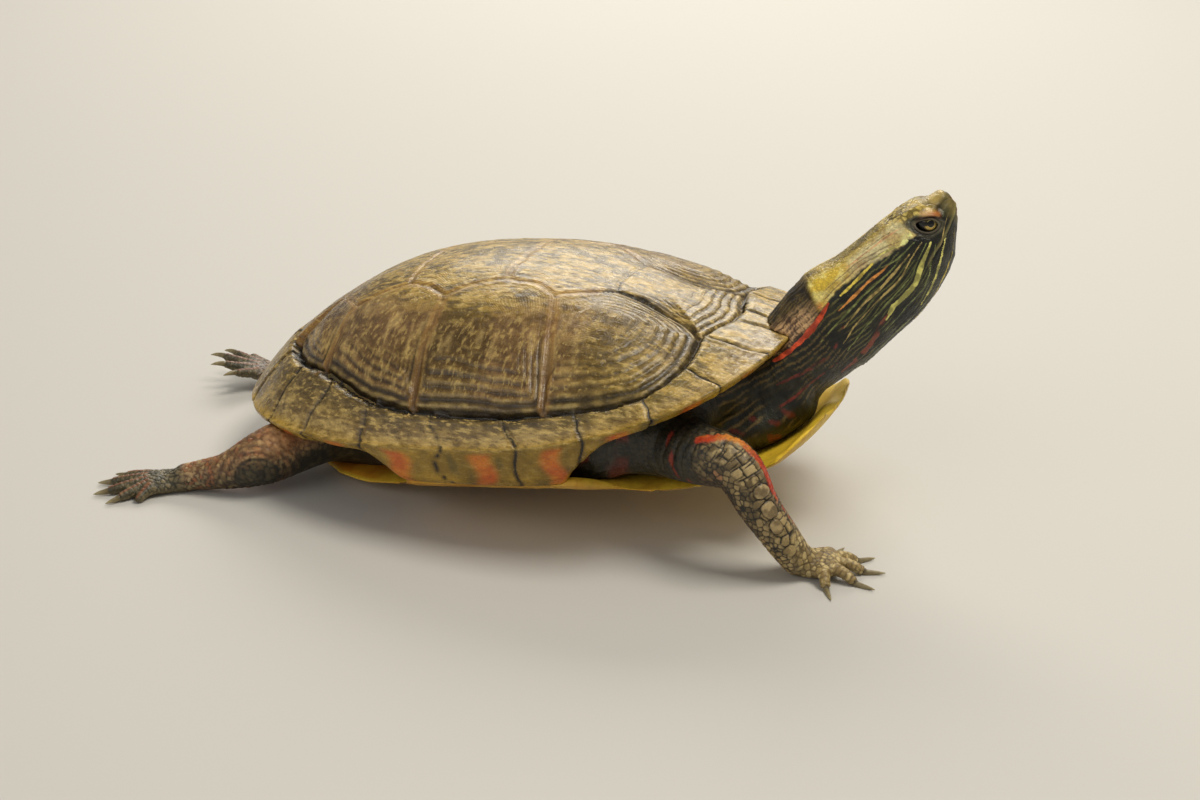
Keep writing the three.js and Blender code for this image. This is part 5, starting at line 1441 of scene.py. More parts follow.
# stripes of head and neck, right side: width, colour, points (mm ahead of the eyes, angle from the crown)
HEAD_STRIPES = [
    (1.45, "pale", [(-2.2, 1.42), (-4.5, 1.52), (-6.5, 1.60), (-11.0, 1.82), (-15.0, 1.84), (-18.5, 1.86), (-22, 1.98)]),
    (1.5, "rust", [(-20, 1.90), (-24.0, 2.02), (-28.5, 2.22), (-33, 2.32), (-40, 2.38)]),
    (0.62, "pale", [(1.5, 1.86), (-1.0, 1.97), (-6.0, 2.20), (-9.5, 2.33), (-14, 2.44)]),
    (0.55, "sand", [(-7.5, 1.20), (-10.0, 1.21), (-14.5, 1.23), (-19.0, 1.29), (-24.5, 1.32), (-31.5, 1.47)]),
    (0.60, "yellow", [(-15.5, 0.74), (-18.0, 0.77), (-23.0, 0.82), (-27.5, 0.88)]),
    (0.58, "orange", [(-13.0, 1.00), (-16.5, 1.00), (-20.0, 0.99), (-25.0, 1.05), (-30.0, 1.10)]),
    (1.15, "red", [(-31.0, 0.86), (-32.4, 0.91), (-34.6, 0.99), (-38.9, 1.10), (-45.6, 1.17), (-50, 1.17)]),
    (0.70, "deepred", [(-31.0, 1.44), (-32.5, 1.47), (-36.0, 1.69), (-40.0, 1.78), (-45.6, 1.68), (-52.2, 1.60)]),
    (0.85, "blot", [(-3.6, 0.86), (-4.6, 0.88)]), (1.05, "blot", [(-5.6, 0.93), (-7.0, 0.90)]),
    (0.42, "green", [(-4.6, 1.08), (-8.0, 1.08), (-11.0, 1.05), (-15.0, 0.92)]),
    (0.42, "sand", [(-3.2, 1.20), (-5.5, 1.24), (-8.0, 1.30), (-12.5, 1.42), (-18.0, 1.46), (-23.0, 1.50), (-29.5, 1.60), (-34.0, 1.76)]),
    (0.36, "green", [(-3.0, 1.32), (-6, 1.42), (-10, 1.58), (-15, 1.63), (-21, 1.70), (-28, 1.80), (-35, 1.96)]),
    (0.36, "green", [(-1.2, 1.58), (-3.5, 1.76), (-7.5, 1.98), (-10.5, 2.10), (-16, 2.10), (-24, 2.24)]),
    (0.34, "green", [(-12, 1.12), (-18, 1.14), (-24, 1.18), (-30, 1.27), (-38, 1.40)]),
    (0.40, "yellow", [(3.6, 2.35), (0.0, 2.50), (-5, 2.62), (-11, 2.72), (-18, 2.78)]),
    (0.36, "green", [(-12, 2.55), (-20, 2.52), (-30, 2.62), (-42, 2.70)]),
    (0.60, "sand", [(3.0, 3.14), (-4, 3.14), (-14, 3.14)]),
    (0.46, "rust", [(-20, 2.92), (-30, 2.90), (-44, 2.86)]),
    (0.50, "deepred", [(-38, 2.04), (-46, 2.00), (-54, 1.95)]),
    (0.36, "umber", [(-10.5, 0.74), (-13, 0.68), (-16, 0.64), (-20, 0.61), (-26, 0.67), (-31, 0.75)]),
    (0.30, "umber", [(-14, 0.57), (-20, 0.51), (-26, 0.56), (-30, 0.62)]),
    (0.40, "pale", [(-7.4, 0.90), (-9.5, 0.80), (-12.5, 0.71), (-15, 0.68)]),
    (0.28, "umber", [(-6.6, 0.82), (-9, 0.72), (-12, 0.62), (-15, 0.58)]),
    (0.40, "pink", [(-4.5, 0.60), (-8, 0.52), (-12, 0.47), (-17, 0.45), (-22, 0.46)]),
    (0.26, "umber", [(-5.5, 0.52), (-10, 0.42), (-16, 0.38)]),
    (0.34, "sand", [(5.9, 1.42), (4.0, 1.52), (2.2, 1.62), (0.6, 1.70), (-1.2, 1.78)]),
    (0.30, "green", [(6.2, 1.05), (4.9, 1.18), (3.9, 1.28)]),
]
STRIPE_RGB = dict(pale=(216, 208, 112), rust=(118, 54, 34), sand=(182, 158, 92), yellow=(224, 196, 74), orange=(216, 140, 62), red=(228, 76, 32),
                  deepred=(108, 36, 24), blot=(228, 224, 140), green=(130, 138, 76),
                  umber=(94, 64, 38), pink=(208, 146, 100))


def cells(P, size, seed, jitter, where):
    """Cell noise only where it is used."""
    out = [np.zeros(len(P)) + 0.5 for _ in range(3)]
    z = np.where(where)[0]
    if len(z):
        for o, v in zip(out, worley(P[z], size, seed, jitter)):
            o[z] = v
    out[1] = np.where(where, out[1], 1.0)
    return out


def build_skin():
    F, P, quads, others = skin_mesh()
    n = len(P)
    N = F.normal(P)
    base = P.copy()
    hide = F.sample(P)          # near zero
    f, u, r = head_frame(P)
    h = np.zeros(n)
    col = np.zeros((n, 3))
    bumpy = np.ones(n)          # how pebbly the finest bump is
    wet = np.zeros(n)
    NA = neck_axis()
    LA = {k: limb_axis(v["keys"]) for k, v in LEGS.items()}
    share = {"neck": np.full(n, 99.0), "tail": np.full(n, 99.0), **{k: np.full(n, 99.0) for k in LEGS}}
    S, PH, RAD = np.zeros(n), np.zeros(n), np.ones(n)
    data = {}
    for k, ax in [("neck", NA), ("tail", limb_axis(TAIL, 40))] + list(LA.items()):
        z = near_box(P, ax["at"], 20 if k == "neck" else 13)
        s_, ph, q, rad = along(ax, P[z])
        share[k][z] = q
        full = np.zeros((n, 3))
        full[z] = np.stack([s_, ph, rad], 1)
        data[k] = full
    names = list(share)
    M = np.stack([share[k] for k in names])
    who = M.argmin(0)
    best = M.min(0)
    trunk_w = smooth(1.25, 1.9, best)             # share of trunk in a point
    # ---------------- base colour: dark grey-green, lighter on the scales
    n1, n2, n3 = fbm(P, 9, 101, 3), fbm(P, 3, 105, 3), vnoise(P, 1.1, 109)
    dark = lerp(srgb(24, 23, 17) + 0 * P, srgb(48, 44, 32), smooth(-0.5, 0.5, n1))
    col = dark.copy()
    # ---------------- neck and head
    isneck = (who == 0)
    sN, pN, rN = data["neck"].T
    ap = np.abs(pN)
    wn = np.where(share["neck"] < 3, smooth(1.9, 1.25, share["neck"]), 0) * (share["neck"] <= best * 1.5)
    ymm = ap * 9.4
    wav = 0.35 * vnoise(P, 5, 120) + 0.12 * vnoise(P, 1.8, 121)
    g2 = fbm(P * [1, 1, 1], 2.4, 123, 3)
    top_edge = np.interp(sN, [-56, -50, -46, -39, -35, -31, -27, -20, -13, -9, -7, -5, -2, 2, 8], [0.9, 1.08, 1.12, 1.02, 0.92, 0.84, 0.76, 0.70, 0.76, 0.86, 0.98, 0.96, 1.06, 1.05, 1.15]) * 9.4
    # golden upper side of head and neck: partly the head's own yellow markings, partly painted sunlight on the top
    crown = smooth(0.24, -0.24, ymm - top_edge + wav * 1.3 + 0.35 * vnoise(P, 1.2, 124))
    crown_c = lerp(srgb(146, 122, 46) + 0 * P, srgb(208, 178, 82), smooth(-0.30, 0.30, g2))
    crown_c = lerp(crown_c, srgb(84, 72, 28), 0.65 * smooth(0.06, 0.34, -fbm(P, 3.4, 127, 3)))
    # blotched top of the head
    bk = cells(P, 1.5, 155, 0.85, (wn > 0) & (sN > -14))
    blot_ = smooth(-13, -10, sN) * smooth(4.5, 2, sN) * smooth(0.75, 0.55, ap)
    crown_c = lerp(crown_c, lerp(srgb(100, 86, 36) + 0 * P, lerp(srgb(206, 176, 78) + 0 * P, srgb(244, 222, 126), bk[2]), smooth(0.10, 0.32, bk[1] - bk[0] + 0.12 * n3)), 0.70 * blot_ * smooth(-0.30, 0.05, n2 + 0.5 * n1))
    cream = smooth(0.18, 0.42, ap) * smooth(-30, -24, sN) * smooth(-1, -6, sN)
    crown_c = lerp(crown_c, lerp(srgb(224, 194, 132) + 0 * P, srgb(246, 232, 176), smooth(-0.3, 0.3, g2)), 0.88 * cream)
    temple = np.exp(-((sN + 6.5) / 3.8) ** 2 - ((ymm - top_edge + 1.3) / 1.1) ** 2)
    crown_c = lerp(crown_c, lerp(srgb(214, 192, 112) + 0 * P, srgb(240, 228, 150), smooth(-0.25, 0.25, g2)), 0.85 * temple)
    nape = smooth(-34.5, -32.5, sN + 1.5 * (ap - 0.6)) * smooth(-19, -25, sN) * smooth(0.14, 0.34, ap)
    crown_c = lerp(crown_c, lerp(srgb(238, 202, 66) + 0 * P, srgb(252, 234, 134), smooth(-0.3, 0.3, g2)), 0.90 * nape)
    crown_c = lerp(crown_c, srgb(222, 122, 34), 0.8 * np.exp(-((sN + 33.2) / 1.0) ** 2 - ((ap - 0.82) / 0.09) ** 2))
    collar = smooth(-32.5, -34.5, sN + 1.5 * (ap - 0.6))
    lw_ = (ap * 9.4 + 0.9 * vnoise(P, 5.5, 146) + 0.25 * vnoise(P, 1.7, 147) + 0.05 * (sN + 40)) * math.pi / 1.35
    lrid = np.abs(np.sin(lw_))
    fine = np.abs(np.sin(lw_ * 2.3 + 1.1 * vnoise(P, 2.2, 151)))
    # collar wrinkles: pale on the ridges and dark in the grooves, partly painted light and shade
    collar_c = lerp(srgb(34, 26, 15) + 0 * P, srgb(116, 96, 52), smooth(0.62, 0.95, fine) * smooth(-0.3, 0.3, g2))
    paler = smooth(0.42, 0.80, ap + 0.018 * (-36 - sN)) * smooth(-32.5, -36.5, sN)
    collar_c = lerp(collar_c, lerp(srgb(74, 44, 28) + 0 * P, srgb(228, 184, 132), smooth(0.35, 0.92, 0.5 * lrid + 0.5 * fine + 0.35 * g2)), paler)
    crown_c = lerp(crown_c, collar_c, 0.95 * collar)
    # brown skin with cream lines along the edge of the dark side
    brim = smooth(-2.6, -1.5, ymm - top_edge) * smooth(-12.5, -15.5, sN) * smooth(-33, -31, sN)
    bl_ = np.abs(np.sin((ymm - top_edge + 0.35 * vnoise(P, 3.0, 148)) * math.pi / 1.15))
    crown_c = lerp(crown_c, lerp(srgb(112, 80, 60) + 0 * P, srgb(226, 204, 146), smooth(0.55, 0.92, bl_)), 0.38 * brim)
    # painted shade: darker olive strip along the crown's top contour
    shaded_crown_strip = smooth(0.26, 0.10, ap + 0.05 * g2) * smooth(-7.5, -10, sN) * smooth(-27, -23, sN)
    crown_c = lerp(crown_c, lerp(srgb(84, 74, 34) + 0 * P, srgb(126, 110, 56), smooth(-0.3, 0.3, g2)), 0.70 * shaded_crown_strip)
    neck_c = lerp(srgb(22, 23, 15) + 0 * P, srgb(44, 45, 28), smooth(-0.4, 0.5, n2))
    neck_c = lerp(neck_c, crown_c, crown)
    stripe_h = np.zeros(n)
    pw = ymm * (1 + 0.004 * (sN + 20)) + 0.9 * vnoise(P, 9, 133) + 0.22 * vnoise(P, 2.2, 134)
    pin = np.abs(np.sin(pw * math.pi / 1.02))
    pin = smooth(0.84, 0.97, pin) * smooth(-0.42, 0.1, vnoise(P, 4.5, 135)) * smooth(-3.0, -6, sN + 3 * smooth(2.0, 1.4, ap))
    pin_c = lerp(srgb(124, 126, 68) + 0 * P, srgb(126, 104, 58), smooth(-22, -40, sN))
    neck_c = lerp(neck_c, pin_c, pin * 0.82 * (1 - crown))
    line_d, line_k, line_c = np.full(n, 9.0), np.zeros(n), np.zeros((n, 3))     # nearest stripe: distance past its edge, strength, colour
    for width, tint, path in HEAD_STRIPES:
        p = np.array(path, float)
        d, pos = path_dist(sN, ymm + 0.35 * wav, p * [1, 9.4])
        if tint == "sand" and p[0, 1] > 3.1:
            d, pos = path_dist(sN, ap * 9.4, p * [1, 9.4])
        wloc = width * (0.40 + 0.60 * np.sin(np.pi * np.clip(pos, 0.02, 0.98)) ** 0.8) * (1 + 0.42 * vnoise(P, 2.9, 131 + int(width * 100)) + 0.20 * vnoise(P, 1.1, 132))
        m = smooth(0.5 * wloc + 0.22, 0.5 * wloc - 0.10, d)
        tc = lerp(srgb(*[int(c * 0.80) for c in STRIPE_RGB[tint]]) + 0 * P, srgb(*[min(255, int(c * 1.12) + 8) for c in STRIPE_RGB[tint]]), smooth(-0.45, 0.35, n3 + 0.8 * vnoise(P, 2.4, 149)))
        fade = dict(green=0.78, umber=0.62, pink=0.70).get(tint, 0.92)
        sd = d - 0.5 * wloc
        if tint in ("deepred", "rust"):
            fade = 0.90 * smooth(-0.55, 0.05, vnoise(P, 2.6, 152) + 0.5 * n3)
        line_k, line_c, line_d = np.where(sd < line_d, fade, line_k), np.where((sd < line_d)[:, None], tc, line_c), np.minimum(sd, line_d)
        rimd = smooth(0.5 * wloc + 0.75, 0.5 * wloc + 0.25, d) * (1 - m)
        neck_c = lerp(neck_c, srgb(22, 22, 16), 0.35 * rimd * (1 - crown))
        stripe_h += 0.035 * m
    # beak: horny, grey-tan, darker round the nostrils, with a painted highlight along the snout ridge
    beak = smooth(3.6, 5.6, f + 0.25 * (u + 1)) * (np.abs(r) < 9)
    beak_c = lerp(srgb(84, 78, 42) + 0 * P, srgb(132, 116, 62), smooth(-0.4, 0.4, n2))
    # painted highlight: lighter along the top of the snout
    beak_c = lerp(beak_c, srgb(206, 178, 100), smooth(1.4, 2.6, u) * 0.8)
    beak_c = lerp(beak_c, srgb(164, 104, 44), 0.6 * smooth(1.8, 0.6, np.abs(r)) * smooth(1.6, 0.2, u))
    neck_c = lerp(neck_c, beak_c, beak * 0.8 * (share["neck"] < 3))
    line_k = line_k * (1 - 0.8 * beak) * np.clip(wn, 0, 1)
    # painted shade in the hollow between the eye and the nostril
    loreal_shade = np.exp(-((f - 4.3) / 1.1) ** 2 - ((u - 1.1) / 0.9) ** 2) * smooth(1.2, 2.4, np.abs(r))
    neck_c = lerp(neck_c, srgb(40, 38, 28), 0.75 * loreal_shade)
    line_k = line_k * (1 - 0.75 * loreal_shade)
    col = lerp(col, neck_c, wn)
    # relief of the neck
    h += wn * smooth(1.2, 0.9, ap) * (0.45 * smooth(-34.6, -32.4, sN + 1.5 * (ap - 0.6)) * smooth(-22, -29, sN) - 0.20 * np.exp(-((sN + 35.3 + 1.5 * (ap - 0.6)) / 1.0) ** 2))
    h += wn * collar * smooth(1.15, 0.95, ap) * (0.20 * (lrid ** 1.5 - 0.5) + 0.07 * (fine - 0.5))
    fold = smooth(-27, -36, sN) * (share["neck"] < 3) * (1 - 0.8 * collar * smooth(1.15, 0.95, ap))
    warp = 1.6 * vnoise(P, 7, 140) + 0.5 * vnoise(P, 2.6, 141)
    ph_ = (sN + warp + 1.2 * np.cos(pN * 2)) * 2 * math.pi / 3.4
    rid = 1 - np.abs(np.sin(ph_ / 2))
    h += wn * fold * (-0.34 * rid ** 3 + 0.08) * (0.45 + 0.35 * smooth(1.8, 0.6, ap))
    # painted shade in the grooves of the neck folds
    col = lerp(col, srgb(24, 22, 16), wn * fold * 0.4 * rid ** 6)
    mid = smooth(-9, -15, sN) * (share["neck"] < 3)
    lw = (ap * 9.4 + 0.8 * vnoise(P * 1.0, 6, 143)) * 2 * math.pi / 1.9
    h += wn * mid * (-0.13 * (1 - np.abs(np.sin(lw / 2))) ** 3) * (0.4 + 0.6 * smooth(0.5, 1.0, ap))
    tw = (sN + 1.0 * vnoise(P, 5, 144)) * 2 * math.pi / 2.3
    h += wn * mid * (-0.10 * (1 - np.abs(np.sin(tw / 2))) ** 4) * smooth(0.4, 1.2, ap)
    w1, w2, wc = cells(P, 0.95, 150, 0.8, wn > 0)
    grain = smooth(0.0, 0.35, w2 - w1)
    h += wn * (0.07 * grain - 0.03) * smooth(2, -6, sN)
    col = lerp(col, col * 0.62, wn * (1 - grain) * 0.6 * smooth(2, -6, sN))
    # plates of the crown and cheek
    c1, c2, cc = cells(P, 4.4, 152, 0.7, wn > 0)
    plate = smooth(0.0, 0.10, c2 - c1)
    onhead = wn * smooth(-12, -7, sN)
    h += onhead * (-0.09 * (1 - plate))
    col = lerp(col, col * 0.7, onhead * (1 - plate) * 0.5)
    h += wn * stripe_h
    # forms of the skull under the skin
    ar = np.abs(r)
    hw = (share["neck"] < 3) & (f > -16)
    form = 0.75 * np.exp(-((f - 6.4) / 1.7) ** 2 - ((u - 2.6) / 1.5) ** 2) * smooth(3.4, 1.4, ar)
    form += 0.32 * np.exp(-((ar - 3.3) / 1.1) ** 2) * smooth(3.0, 4.2, u) * smooth(-6.5, -4, f) * smooth(3.2, 1.2, f)
    form -= 0.28 * np.exp(-((f - 2.9) / 1.1) ** 2) * smooth(2.6, 3.4, u)
    form -= 0.42 * np.exp(-((f - 4.3) / 1.3) ** 2 - ((u - 0.9) / 1.0) ** 2) * smooth(1.2, 2.4, ar)
    form += 0.26 * np.exp(-((u - 2.5 + 0.12 * f) / 0.55) ** 2) * smooth(2.2, 3.6, f) * smooth(1.0, 2.2, ar)
    form += 0.30 * np.exp(-((f + 9.5) / 3.2) ** 2 - ((u + 10) / 3.0) ** 2) * smooth(3, 6, ar)
    form += 0.22 * np.exp(-((f + 5.8) / 1.8) ** 2 - ((u + 1.2) / 2.0) ** 2) * smooth(3, 5, ar)
    form -= 0.25 * np.exp(-((f + 7.5) / 1.6) ** 2) * smooth(3.4, 4.4, u) * smooth(3.5, 1.5, ar)
    h += np.where(hw, form, 0)
    # mouth
    um = mouth_line(f)
    hm = smooth(-6.9, -5.2, f) * (share["neck"] < 2)
    dm = u - um
    h += hm * (-0.42 * np.exp(-(dm / 0.20) ** 2) + 0.14 * np.exp(-((dm - 0.55) / 0.35) ** 2) - 0.20 * smooth(0.1, -0.3, dm) * smooth(-3.2, -0.8, dm))
    col = lerp(col, srgb(18, 15, 10), hm * 0.9 * np.exp(-(dm / 0.22) ** 2))
    col = lerp(col, srgb(168, 156, 96), hm * 0.45 * np.exp(-((dm - 0.75) / 0.38) ** 2))
    # nostrils
    for s in (1, -1):
        E = head_point(7.55, 0.35, s * 0.95)
        d = np.linalg.norm(P - E, axis=1)
        h += -0.55 * np.exp(-(d / 0.42) ** 2) + 0.10 * np.exp(-((d - 0.8) / 0.3) ** 2)
        col = lerp(col, srgb(14, 12, 9), np.exp(-(d / 0.46) ** 2))
    # ear drum
    dt = np.hypot((f + 10.0) / 1.1, u + 6.2)
    ear = (np.abs(r) > 3) & (dt < 6)
    h += np.where(ear, -0.16 * np.exp(-((dt - 2.7) / 0.45) ** 2) - 0.10 * smooth(2.9, 1.5, dt), 0)
    # ---------------- legs
    for k in LEGS:
        s_, p_, r_ = data[k].T
        q = share[k]
        w = np.where(q < 3, smooth(2.0, 1.15, q), 0) * (q <= best * 1.4)
        if not (w > 0).any():
            continue
        sg = 1 if "right" in k else -1
        p_ = p_ * sg
        L_ = LA[k]["s"][-1]
        if "fore" in k:
            lower = smooth(19, 26, s_)
            face = smooth(-0.40, 0.0, p_ + 0.8 * smooth(40, 46, s_)) * smooth(2.3, 1.6, p_ - 0.6 * smooth(42, 48, s_))          # the scaly outer face
            big = smooth(0.02, 0.30, p_) * smooth(1.45, 1.10, p_) * smooth(24, 28, s_)
            sc1 = cells(np.stack([s_ * 1.30, p_ * 4.0, 0 * s_ + 3.3 * sg], 1), 2.5, 160, 0.75, w > 0)
            sc2 = cells(P, 1.45, 161, 0.7, w > 0)
            e1, e2 = smooth(0.02, 0.22, sc1[1] - sc1[0]), smooth(0.02, 0.30, sc2[1] - sc2[0])
            cell = mix(e2, e1, big)
            ov = np.full(n, 9.0)
            # rows of narrow plates across the elbow
            rowf = (s_ + 0.7 * vnoise(P, 3.2, 166) + 0.9 * (p_ - 0.62) ** 2) / 1.75
            rown, rowg = np.floor(rowf), np.abs((rowf % 1.0) - 0.5)
            colf = (p_ * 5.2 + 2.6 * ((rown * 0.618) % 1.0) + 0.3 * n3) / 3.1
            colg = np.abs((colf % 1.0) - 0.5)
            eb = np.minimum(smooth(0.49, 0.30, rowg), smooth(0.49, 0.40, colg))
            rows_ = smooth(23.6, 25.4, s_) * smooth(34.4, 32.8, s_) * smooth(0.06, 0.24, p_) * smooth(1.50, 1.20, p_)
            cell = mix(cell, eb, rows_)
            for s0, p0, r0, tall in ((35.4, 0.62, 2.15, 0.74), (40.4, 0.72, 1.9, 1.10), (44.7, 0.92, 1.5, 1.0)):
                dx, dy = (s_ - s0) / tall, (p_ - p0) * 5.1
                ov = np.minimum(ov, (np.abs(dx) ** 2.6 + np.abs(dy) ** 2.6) ** (1 / 2.6) / r0 + 0.22 * n2 + 0.08 * n3)
            oval, moat = smooth(1.05, 0.93, ov), np.exp(-((ov - 1.10) / 0.07) ** 2)
            cell = mix(cell, 1.0, oval) * (1 - 0.85 * moat * (1 - oval))
            h += w * lower * (0.22 * oval * (1 - 0.55 * np.minimum(ov, 1) ** 2) - 0.12 * moat)
            up_h = mix(0.16, 0.42, big) * lower
            h += w * (up_h * (cell - 0.55) + 0.05 * mix(sc2[2], sc1[2], big) * lower)
            scale_c = lerp(srgb(92, 76, 48) + 0 * P, srgb(172, 148, 100), smooth(0.1, 0.9, mix(sc2[2], sc1[2], big)))
            scale_c = lerp(scale_c, srgb(180, 156, 110), 0.30 * big * smooth(-0.3, 0.3, n2))
            scale_c = lerp(scale_c, lerp(srgb(128, 108, 74) + 0 * P, srgb(184, 160, 114), smooth(-0.35, 0.35, n3 + 0.8 * n2)), 0.85 * oval)
            scale_c = lerp(scale_c, lerp(srgb(110, 92, 60) + 0 * P, srgb(192, 168, 118), smooth(-0.3, 0.35, n3 + 0.9 * np.sin(rown * 2.7) * 0.4)), 0.75 * rows_)
            scale_c = lerp(scale_c, srgb(166, 78, 48), 0.45 * (sc2[2] > 0.90) * (1 - big) * (1 - oval))
            scale_c = lerp(scale_c, lerp(srgb(158, 132, 82) + 0 * P, srgb(212, 186, 126), sc2[2]), 0.6 * smooth(43, 49, s_))
            gap_c = srgb(26, 21, 13) + 0 * P
            leg_c = lerp(gap_c, scale_c, cell)
            back_c = lerp(srgb(28, 23, 14) + 0 * P, lerp(srgb(60, 46, 28) + 0 * P, srgb(104, 78, 46), sc2[2]), e2 * 0.8)
            leg_c = lerp(back_c, leg_c, np.clip(0.15 + face, 0, 1))
            arm_c = lerp(srgb(26, 26, 19) + 0 * P, srgb(66, 60, 42), 0.6 * e2 + 0.3 * n2)
            leg_c = lerp(arm_c, leg_c, lower)
            d, pos = path_dist(s_, (p_) * 5.2, np.array([(21.0, 0.90), (23.8, 0.62), (25.2, 0.26), (27.4, 0.00), (31.6, -0.10), (36.0, -0.10), (40.0, -0.16)]) * [1, 5.2])
            m = smooth(0.95, 0.60, d + 0.30 * n2 + 0.15 * n3 - 0.30 * np.sin(np.pi * pos))
            leg_c = lerp(leg_c, lerp(srgb(198, 60, 26) + 0 * P, srgb(232, 148, 56), np.clip(smooth(-0.2, 0.4, n2) * 0.4 + np.exp(-((pos - 0.34) / 0.10) ** 2), 0, 1)), m * (0.70 + 0.25 * e2))
            h += w * 0.10 * m
            for (a0, b0, rr) in ((43.0, -0.30, 0.95), (45.6, -0.26, 0.75), (47.8, -0.42, 0.6), (46.4, -0.9, 0.7), (42.0, -0.95, 0.7), (13.3, 1.18, 0.9), (15.2, 1.78, 0.8), (15.6, 2.36, 0.8), (18.4, 2.64, 0.9), (10, -1.6, 0.9), (30, -1.9, 1.0), (36, -2.0, 0.9), (41, -2.1, 0.8)):
                high = a0 < 20
                dd = np.hypot((s_ - a0) * (1.7 if high else 1.0), (np.angle(np.exp(1j * (p_ - b0)))) * 5.5 * (0.62 if high else 1.0)) + 0.55 * n2 + 0.2 * n3
                leg_c = lerp(leg_c, srgb(152, 50, 32) if high else srgb(178, 60, 34), 0.75 * smooth(rr + 0.3, rr - 0.3, dd))
            wr = (s_ + 1.2 * vnoise(P, 5, 165)) * 2 * math.pi / 2.6
            h += w * (1 - lower) * (-0.34 * (1 - np.abs(np.sin(wr / 2))) ** 3)
            # crook of the elbow
            h += w * -0.30 * smooth(22, 25, s_) * smooth(31, 28, s_) * (1 - np.abs(np.sin(wr * 0.75))) ** 3 * smooth(1.7, 2.6, np.abs(p_))
        else:
            lower = smooth(20, 27, s_)
            sc2 = cells(np.stack([s_, p_ * 5.2, 0 * s_ + 2.2 * sg], 1) * [1.15, 0.85, 1], 1.35, 170, 0.7, w > 0)
            sc3 = cells(P, 1.7, 171, 0.7, w > 0)
            e2 = smooth(0.02, 0.30, mix(sc3[1] - sc3[0], sc2[1] - sc2[0], lower))
            rnd = mix(sc3[2], sc2[2], lower)
            h += w * (0.19 * lower + 0.05) * (e2 - 0.55)
            sc_c = lerp(srgb(92, 70, 44) + 0 * P, srgb(150, 118, 76), smooth(0.1, 0.9, rnd))
            sc_c = lerp(sc_c, srgb(170, 84, 50), 0.55 * (rnd > 0.72) * lower)
            sc_c = lerp(sc_c, srgb(204, 178, 124), 0.6 * (rnd < 0.14))
            sc_c = lerp(sc_c, srgb(206, 182, 134), 0.55 * smooth(40, 46, s_) * (rnd < 0.6))
            leg_c = lerp(srgb(44, 32, 20) + 0 * P, sc_c, e2)
            # ridged rows of scales on the shank
            row = 1 - np.abs(np.sin((s_ + 0.35 * p_ + 0.5 * vnoise(P, 3, 174)) * math.pi / 1.9))
            rw = smooth(27, 31, s_) * smooth(42, 38, s_)
            h += w * rw * (-0.22 * row ** 2 + 0.05)
            leg_c = lerp(leg_c, srgb(38, 26, 17), 0.55 * rw * row ** 3)
            thigh = smooth(31, 22, s_)
            # pinker and paler where the leg faces up: partly the skin's colour, partly painted light from above
            up_ = smooth(-0.05, 0.65, N[:, 2])
            pink = lerp(srgb(150, 100, 58) + 0 * P, srgb(206, 156, 104), smooth(-0.35, 0.35, n2 + 0.4 * n3))
            leg_c = lerp(leg_c, lerp(srgb(58, 42, 26) + 0 * P, pink, 0.62 + 0.38 * e2), up_ * thigh * 0.92)
            leg_c = lerp(leg_c, pink, 0.30 * up_ * lower)
            # painted shade: darker where the leg faces down
            low_ = smooth(0.30, -0.20, N[:, 2] + 0.2 * n1)
            leg_c = lerp(leg_c, lerp(srgb(30, 30, 20) + 0 * P, srgb(70, 66, 42), e2 * smooth(0.1, 0.9, rnd)), low_ * mix(0.90, 0.45, lower))
            # wrinkles in arcs round the hollow of the knee, with painted shade in the hollow and grooves and painted
            # light on the ridges' upper faces
            knee = np.array([-53.0, -52.4, 6.2]) if sg > 0 else np.array([-60.0, 42.0, 3.0])
            kd_ = np.linalg.norm((P - knee) * [0.92, 1.0, 1.12], axis=1)
            ph_k = (kd_ + 0.55 * vnoise(P, 4, 173) + 0.2 * vnoise(P, 1.6, 175)) / 1.9
            arc = 1 - np.abs(np.sin(ph_k * math.pi))
            # painted shade in the hollow of the knee
            leg_c = lerp(leg_c, lerp(srgb(28, 28, 19) + 0 * P, srgb(66, 62, 40), e2 * smooth(0.1, 0.9, rnd)), 0.80 * smooth(7.4, 5.6, kd_ + 0.8 * n2))
            aw = smooth(4.8, 6.0, kd_) * smooth(12.4, 10.6, kd_) * (0.45 + 0.55 * smooth(-0.3, 0.4, vnoise(P, 6, 176)))
            h += w * aw * (-0.62 * arc ** 2.2 + 0.18)
            # painted light on the upper faces of the wrinkle ridges
            leg_c = lerp(leg_c, lerp(srgb(176, 128, 80) + 0 * P, srgb(214, 178, 120), e2), 0.55 * aw * smooth(0.5, 0.1, arc) * smooth(-0.5, 0.3, N[:, 2]))
            # painted shade in the wrinkle grooves
            leg_c = lerp(leg_c, srgb(26, 20, 13), 0.85 * aw * arc ** 2.2)
            for (a0, b0, rr) in ((17, 1.7, 0.9), (21, 2.1, 0.8), (25, 2.3, 0.6), (13, 2.2, 0.7)):
                dd = np.hypot(s_ - a0, (np.angle(np.exp(1j * (p_ - b0)))) * 6) + 0.3 * n2
                leg_c = lerp(leg_c, srgb(170, 78, 48), 0.55 * smooth(rr + 0.3, rr - 0.3, dd))
            d, pos = path_dist(s_, np.abs(np.angle(np.exp(1j * (p_ - 3.0)))) * 6.0, np.array([(22, 0.3), (34, 0.2), (50, 0.1)]) * [1, 6.0])
            leg_c = lerp(leg_c, srgb(206, 84, 36), 0.8 * smooth(0.9, 0.5, d))
        col = lerp(col, leg_c, w)
        wet = np.maximum(wet, w * 0.4)
